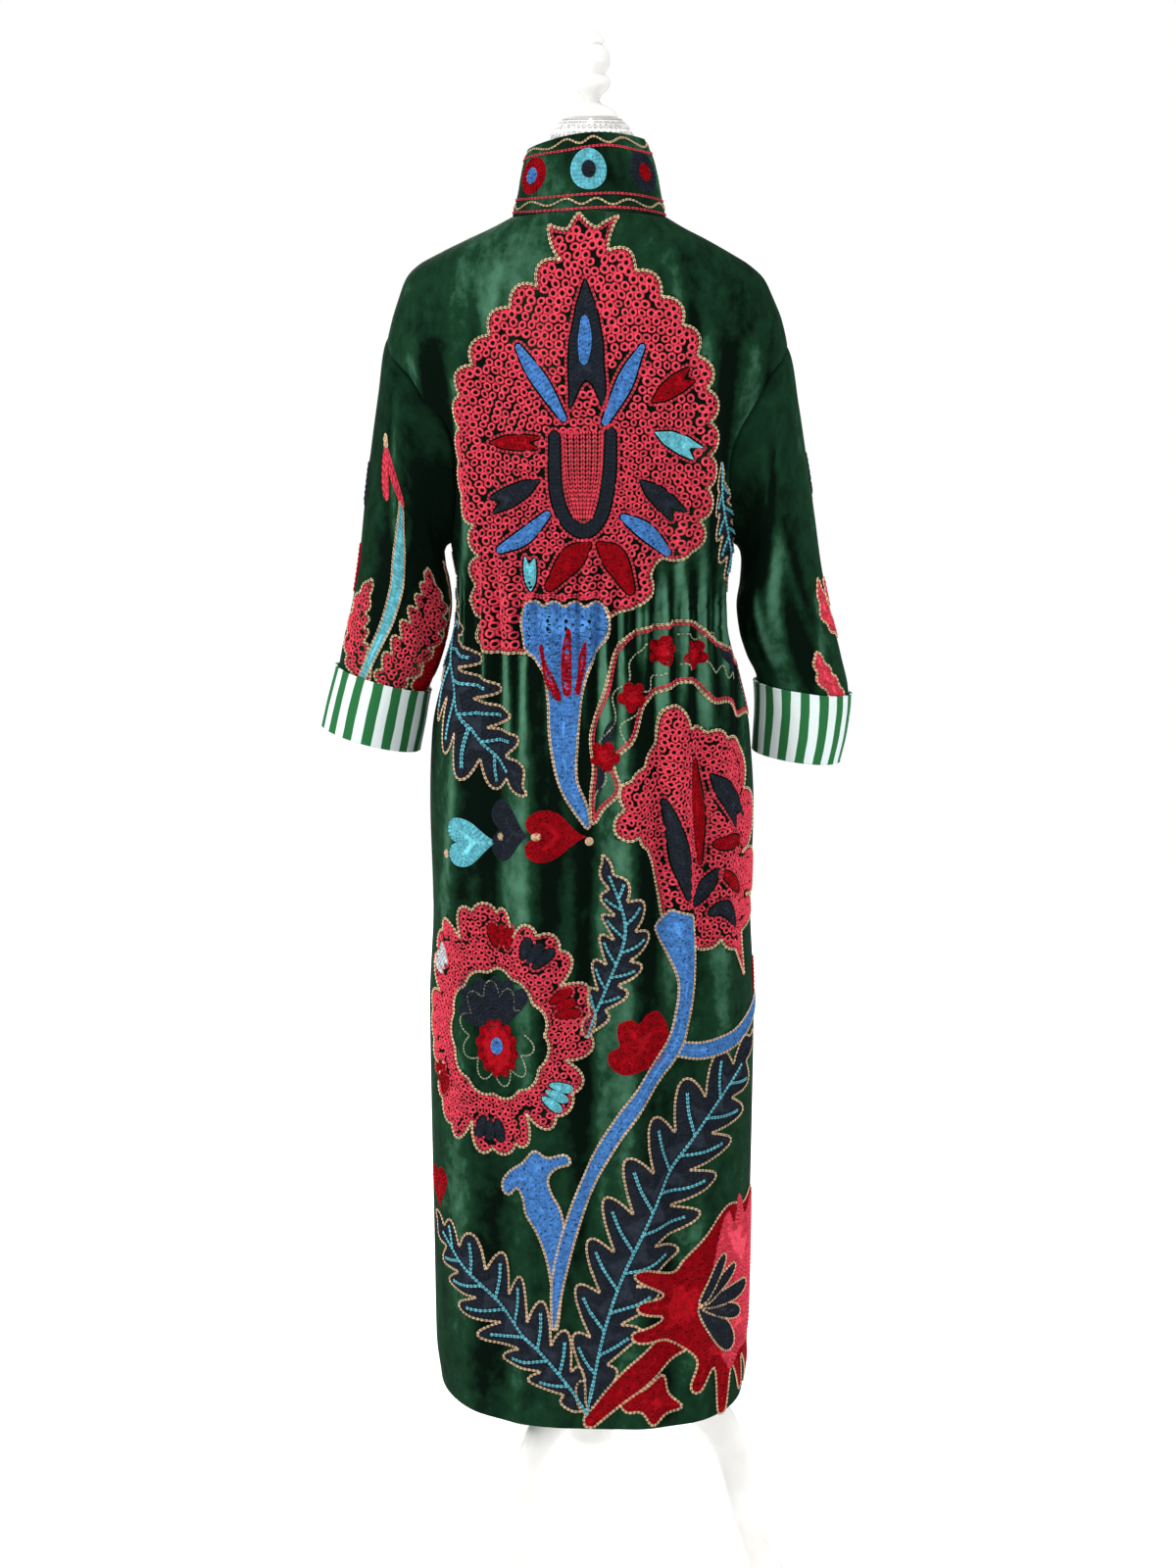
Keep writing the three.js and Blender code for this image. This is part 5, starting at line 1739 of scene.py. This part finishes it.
def ribbon():
    # a looping ribbon of two lines round red flowers and thin squiggles
    for centre, turn in (((13, 934), 30), ((40, 990), 8), ((70, 1032), 40), ((106, 1026), 15)):
        flower = roundFlower(centre, 15, 15, 5, 0.38, turn, 0.8)
        filled("back", "red", flower, 0.3)
        cover("back", flower)
    outer = wander([(-1, 868), (0, 930), (7, 982), (26, 1034), (62, 1059), (112, 1052), (160, 1022),
                    (214, 1004)], 2.8, 5)
    inner = wander([(4, 868), (26, 906), (28, 936), (50, 970), (80, 1003), (116, 989), (165, 966),
                    (214, 956)], 4.2, 5.5)
    outline = np.vstack([outer, inner[::-1]])
    chain("back", "tan", outline, None, True)
    chain("back", "pink", outsideRow(outline[::-1], -3.2), 3.4, True)
    for course in ([(2, 884), (10, 912), (12, 946), (22, 980), (34, 1012), (54, 1040)],
                   [(24, 930), (34, 964), (54, 996), (74, 1012)],
                   [(86, 1046), (120, 1042), (160, 1026), (204, 1000)],
                   [(88, 1018), (130, 1012), (170, 996)]):
        chain("back", "paleGreen", wander(course, 5, 3.6), 1.9, stitch=3.6)
    filled("back", "navy", band([(8, 900, 4), (16, 952, 9), (22, 970, 4)]))
    filled("back", "navy", forked((140, 1030), (176, 1004), 16))


def hearts():
    for colour, centre, width, height in (("turquoise", (-124, 844), 50, 51), ("navy", (-82, 858), 62, 46),
                                          ("red", (-34, 856), 52, 58)):
        filled("back", colour, heart(centre, width, height, 90 + 4 * math.sin(centre[0])))
    for spot in ((-157, 828), (-95, 852), (-53, 857), (-3, 850)):
        filled("back", "tan", oval(spot, 4.5, 4.5), 0.3, gap=2.4)
    lobed = curveThrough([(25, 654), (26, 667), (38, 673), (45, 668), (53, 676), (66, 678), (75, 664),
                          (76, 646), (68, 624), (50, 620), (31, 615), (18, 623), (17, 636), (27, 644)],
                         closed=True, steps=5)
    filled("back", "red", lobed)
    filled("back", "red", heart((-186, 470), 46, 44, 10))
    filled("back", "red", band([(221, 706, 6), (217, 690, 13), (214, 672, 5)]))


def starFlower():
    # the flower at the wearer's right, spiky at the top
    outline = arcs([
        (28, 856, 0.20), (22, 866, 0.15), (32, 884, 0.10), (27, 898, 0.25), (38, 911, 0.20),
        (52, 922, 0.10), (66, 944, 0.05), (70, 974, 0.25), (87, 978, 0.10), (99, 956, 0.25),
        (118, 951, 0.25), (142, 944, 0.20), (168, 932, 0.20), (174, 890, 0.30), (202, 850, 0.15),
        (170, 826, 0.20), (225, 802, 0.20), (222, 780, 0.05), (182, 780, 0.20), (212, 756, 0.05),
        (170, 746, 0.0), (176, 698, 0.0), (152, 732, 0.20), (134, 746, 0.20), (118, 736, 0.15),
        (103, 743, 0.05), (71, 774, 0.0), (67, 798, 0.0), (60, 828, 0.0), (53, 844, 0.20),
        (45, 858, 0.20), (28, 856, 0)])[:-1]
    motifs = [
        ("red", band([(106, 926, 4), (110, 876, 14), (113, 824, 4)])),
        ("navy", band([(72, 890, 4), (80, 862, 12), (88, 828, 19), (95, 792, 6)])),
        ("navy", band([(105, 784, 8), (117, 797, 15), (130, 816, 4)])),
        ("navy", forked((122, 912), (168, 858), 26)),
        ("red", band([(128, 842, 9), (145, 842, 14), (164, 840, 9)])),
        ("red", band([(136, 812, 7), (150, 800, 12), (164, 790, 7)])),
        ("navy", band([(124, 772, 6), (138, 776, 14), (154, 756, 5)])),
    ]
    onLoops(motifs)
    ringField("back", "pink", outline, scale=0.85)
    fieldEdge(outline)


def rosette():
    centre = (-101, 656)
    t = np.linspace(0, fullTurn, 480, endpoint=False)
    group = (t * 8 / fullTurn + 0.35) % 1
    small = (group * 3) % 1
    reach = 0.99 - 0.19 * (1 - np.sin(math.pi * group)) ** 3
    reach = reach + 0.075 * (np.sin(math.pi * small) ** 0.6 - 0.5)
    reach = reach + 0.03 * np.sin(3 * t + 1)
    outline = placed(np.stack([100 * reach * np.cos(t), 126 * reach * np.sin(t)], -1), centre)
    inner = roundFlower((-97, 652), 55, 67, 11, 0.09, 4, 0.7)
    for colour, spot, turn in (
            ("red", (-93, 748), 92), ("navy", (-57, 736), 58), ("red", (-31, 684), 20),
            ("turquoise", (-38, 594), -28), ("navy", (-104, 556), 264), ("red", (-168, 596), 215),
            ("white", (-174, 712), 140)):
        fan = [petal(placed([(-9, 7 * k)], spot, turn)[0], turn + 13 * k, 25, 9.5) for k in (-1, 0, 1)]
        for leaf in fan:
            filled("back", colour, leaf)
            cover("back", leaf)
        for leaf in fan[::2]:
            chain("back", "pink", outsideRow(leaf, 2.6), 2.8, True)
    ringField("back", "pink", outline, [inner], scale=0.8)
    fieldEdge(outline)
    fieldEdge(inner, 1)
    # brush-stroke fan over a many-petalled flower
    for turn, length in ((158, 44), (134, 60), (112, 52), (92, 52), (72, 54), (50, 58)):
        filled("back", "navy", petal((-99, 658), turn, length, 17))
    filled("back", "red", roundFlower((-96, 638), 23, 31, 12, 0.20, 8, 0.8), 0.9)
    filled("back", "blue", oval((-96, 640), 6.5, 8.5, 20), 2.0, gap=2.4)
    ring = roundFlower((-97, 652), 41, 54, 10, 0.30, 10, 0.9)
    chain("back", "paleGreen", ring[12:], 1.8, False, 0.3, 3.4)


def stems():
    main = band([(82, 768, 40), (90, 738, 28), (94, 706, 17), (90, 670, 15), (82, 642, 17), (54, 602, 16),
                 (17, 542, 15), (-13, 478, 14), (-33, 404, 13), (-39, 346, 4)])
    branch = band([(78, 640, 14), (117, 633, 17), (160, 640, 18), (226, 662, 17)])
    # a small flower with two curled lips
    lily = curveThrough([(-92, 486), (-93, 498), (-84, 510), (-70, 520), (-58, 534), (-45, 527), (-27, 531),
                         (-22, 521), (-35, 517), (-44, 506), (-41, 490), (-31, 470), (-27, 434), (-31, 384),
                         (-36, 344), (-40, 384), (-46, 420), (-56, 448), (-67, 466), (-70, 482), (-77, 493),
                         (-85, 484)], closed=True, steps=5)
    for rise, shape in ((0.4, main), (0.2, branch), (0.2, lily)):
        edged("back", "blue", shape, rise=rise)
        cover("back", shape)


def leaves():
    # pitch of the teeth, width of the veins and the spine's a, b and width
    for pitch, width, *spine in (
            (33, 3.6, (-202, 1120, 26), (-190, 1060, 66), (-158, 1004, 98), (-118, 950, 82), (-60, 898, 4)),
            (22, 3.6, (138, 1214, 6), (144, 1176, 32), (160, 1128, 44), (180, 1086, 20)),
            (27, 3.0, (-6, 650, 16), (16, 706, 42), (32, 768, 44), (10, 838, 4)),
            (45, 3.6, (-5, 258, 24), (14, 350, 78), (45, 436, 98), (88, 520, 98), (136, 580, 84),
             (206, 634, 6)),
            (35, 3.6, (-6, 262, 24), (-44, 312, 72), (-88, 356, 82), (-134, 402, 68), (-196, 440, 6))):
        veined("back", "navy", "turquoise", spine, pitch, width)


# the fruit's outline: turn in degrees and reach from its middle
fruitReach = [
    (0, 80), (25, 95), (48, 118), (62, 128), (74, 110), (90, 112), (106, 96), (128, 84), (143, 82),
    (149, 114), (155, 118), (160, 80), (166, 104), (172, 104), (177, 76), (183, 108), (189, 106),
    (195, 74), (225, 58), (236, 84), (244, 84), (250, 58), (263, 104), (270, 104), (277, 62),
    (286, 96), (291, 98), (297, 64), (302, 120), (308, 118), (316, 70), (335, 74),
]


def pomegranate():
    centre = np.array((150, 350))
    turn, reach = np.radians(np.array(fruitReach, float)[:, 0]), np.array(fruitReach, float)[:, 1:]
    blob = curveThrough(centre + reach * np.stack([np.cos(turn), np.sin(turn)], -1), closed=True)
    blob[:, 1] = np.maximum(blob[:, 1], body["hem"] - 1)
    for way, length, width in ((55, 58, 14), (32, 60, 14), (2, 78, 17), (-21, 66, 16), (-50, 72, 25)):
        leaf = petal((111, 364), way, length, width)
        edged("back", "navy", leaf, width=2.6, rise=1.5)
        cover("back", leaf)
    flesh = curveThrough([(128, 404), (138, 436), (150, 456), (160, 440), (171, 468), (184, 442),
                          (206, 456), (222, 436), (228, 386), (214, 340), (194, 302), (172, 300),
                          (155, 286), (142, 304), (132, 330), (122, 350), (118, 380)], closed=True, steps=5)
    filled("back", "pink", flesh, 0.6)
    cover("back", flesh)
    edged("back", "red", blob, rise=0.2)
    cover("back", blob)
    stem = band([(-4, 250, 13), (34, 288, 24), (74, 322, 30), (112, 344, 30)])
    edged("back", "red", stem)
    cover("back", stem)
    bract = curveThrough([(28, 278), (50, 284), (73, 297), (80, 277), (95, 262), (76, 257), (62, 247),
                          (50, 262), (34, 262)], closed=True, steps=6)
    edged("back", "red", bract)


# Sleeves and collar

def scallopedLeaf(place, colour, rows, pitch=20, rise=0.0):
    outline, _ = toothedLeaf(rows, pitch, 0.5, 0.55)
    if rise:
        edged(place, colour, outline, rise=rise)
    else:
        ringField(place, colour, outline, scale=0.8)
        chain(place, "tan", outline, 2.8, True, 0.4)
        chain(place, colour, outsideRow(outline[::-1], -2.8), 2.8, True)
    cover(place, outline)


def leftSleeveWork():
    # a lance between scalloped leaves above the cuff, and a tassel over it
    place = "leftSleeve"
    lance = band([(52, 60, 7), (62, 100, 10), (72, 144, 13), (82, 192, 13), (96, 244, 6)])
    edged(place, "turquoise", lance, rise=0.2)
    cover(place, lance)
    scallopedLeaf(place, "pink", [(58, 60, 24), (36, 92, 40), (30, 124, 34), (44, 160, 4)])
    scallopedLeaf(place, "pink", [(76, 60, 30), (98, 104, 50), (116, 150, 46), (128, 208, 4)])
    scallopedLeaf(place, "red", [(112, 60, 24), (140, 104, 44), (162, 160, 36), (180, 246, 4)], 26, 0.1)
    filled(place, "tan", oval((66, 266), 5, 4.5), 0.8, gap=2.4)
    for turn, length in ((-88, 34), (-26, 40)):
        filled(place, "pink", petal((66, 264), turn, length, 13), 0.3)
    filled(place, "red", band([(10, 178, 6), (8, 160, 13), (6, 140, 6)]))
    filled(place, "navy", forked((14, 240), (12, 202), 14))


def rightSleeveWork():
    place = "rightSleeve"
    for rows in ([(-2, 124, 10), (-26, 146, 26), (-34, 176, 4)],
                 [(-24, 62, 10), (-48, 86, 26), (-56, 116, 4)],
                 [(22, 150, 6), (-4, 160, 22), (-20, 170, 4)]):
        scallopedLeaf(place, "pink", rows, 15, 0.1)
    filled(place, "navy", forked((8, 262), (-6, 228), 14))


def collarWork():
    # straight rows and zigzags between them, from end to end
    end = 168
    for b, swing, wave in ((2.5, 1.2, 21), (15, 1.2, 21), (56, 1.1, 15)):
        row = [(a, b + swing * math.sin(a / wave)) for a in range(-end, end + 1, 12)]
        chain("collar", "pink", curveThrough(row), 2.6)
    for b, swing, wave, drift, slow in ((8.6, 2.8, 5.2, 0.8, 17), (62, 2.6, 6.0, 0.9, 19)):
        zigzag = [(a, b + swing * math.sin(a / wave + drift * math.sin(a / slow)))
                  for a in range(-end, end + 1, 3)]
        chain("collar", "tan", curveThrough(zigzag, steps=4), 2.2, stitch=3.6)
    for spot, outer, inner in ((-120, "turquoise", "navy"), (-61, "red", "blue"), (0, "turquoise", "navy"),
                               (60, "navy", "red"), (120, "turquoise", "red")):
        filled("collar", outer, oval((spot, 37), 17.5, 18, 60), gap=2.6)
        filled("collar", inner, oval((spot, 37), 7, 8, 24), 1.2, gap=2.6)


neckLace = {
    "bottom": 1519,
    "radius": 35,
    "pitch": 5.5,
    "loopRows": (7, 13.5),  # heights above its bottom
    "edges": (3.5, 17.5),
    "cord": 20.4,
}


def neckTrim():
    # a narrow band of lace round the top of the neck, under a cord
    girth = fullTurn * neckLace["radius"]
    around = np.arange(0, girth, neckLace["pitch"])
    for row, b in enumerate(neckLace["loopRows"]):
        spots = np.column_stack([around + 2.7 * row, np.full(len(around), b)])
        rings("neck", "lace", spots, np.full(len(around), 0.5))
    for b in neckLace["edges"]:
        chain("neck", "lace", [(a, b) for a in np.arange(0, girth, 4)], 2.2, True, 0.2, 3.4)
    chain("neck", "cord", [(a, neckLace["cord"]) for a in np.arange(0, girth, 4)], 1.5, True, 0.1, 3.0)


def neckSurface(a, b):
    # a runs round the neck from its back, b up over its last part
    return neckPoint(neckLace["bottom"] + b, math.pi / 2 + a / neckLace["radius"])


surfaces = {
    "back": backSurface,
    "collar": collarSurface,
    "leftSleeve": sleeveSurfaceOf(sleeves["left"]),
    "rightSleeve": sleeveSurfaceOf(sleeves["right"]),
    "neck": neckSurface,
}
yarns = {name: yarnMaterial(name + "Yarn", colour, 0.07 if name in ("blue", "red") else 0.0)
         for name, colour in yarnColours.items()}


def workedPieces():
    total = 0
    for (place, colour, kind), parts in worked.items():
        points = np.concatenate([part[0] for part in parts])
        counts = np.cumsum([0] + [len(part[0]) for part in parts])
        faces = []
        for start, part in zip(counts, parts):
            faces += (part[1] + start).tolist()
        placedPoints = lifted(surfaces[place], points[:, 0], points[:, 1], points[:, 2])
        corners = points[[corner for face in faces for corner in face], :2] * mm
        piece = meshPiece(place + "_" + colour + "_" + kind, placedPoints, faces, corners, [yarns[colour]])
        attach(piece, "root")
        triangles = sum(len(face) - 2 for face in faces)
        total += triangles
        print(piece.name, triangles, "triangles")
    print("embroidery", total, "triangles")


trumpetFlower()
palmette()
ribbon()
hearts()
stems()
starFlower()
rosette()
pomegranate()
leaves()
leftSleeveWork()
rightSleeveWork()
collarWork()
neckTrim()
workedPieces()
shadeUnderLoops(backCloth, loopFields["back"])
print("embroidery ready")
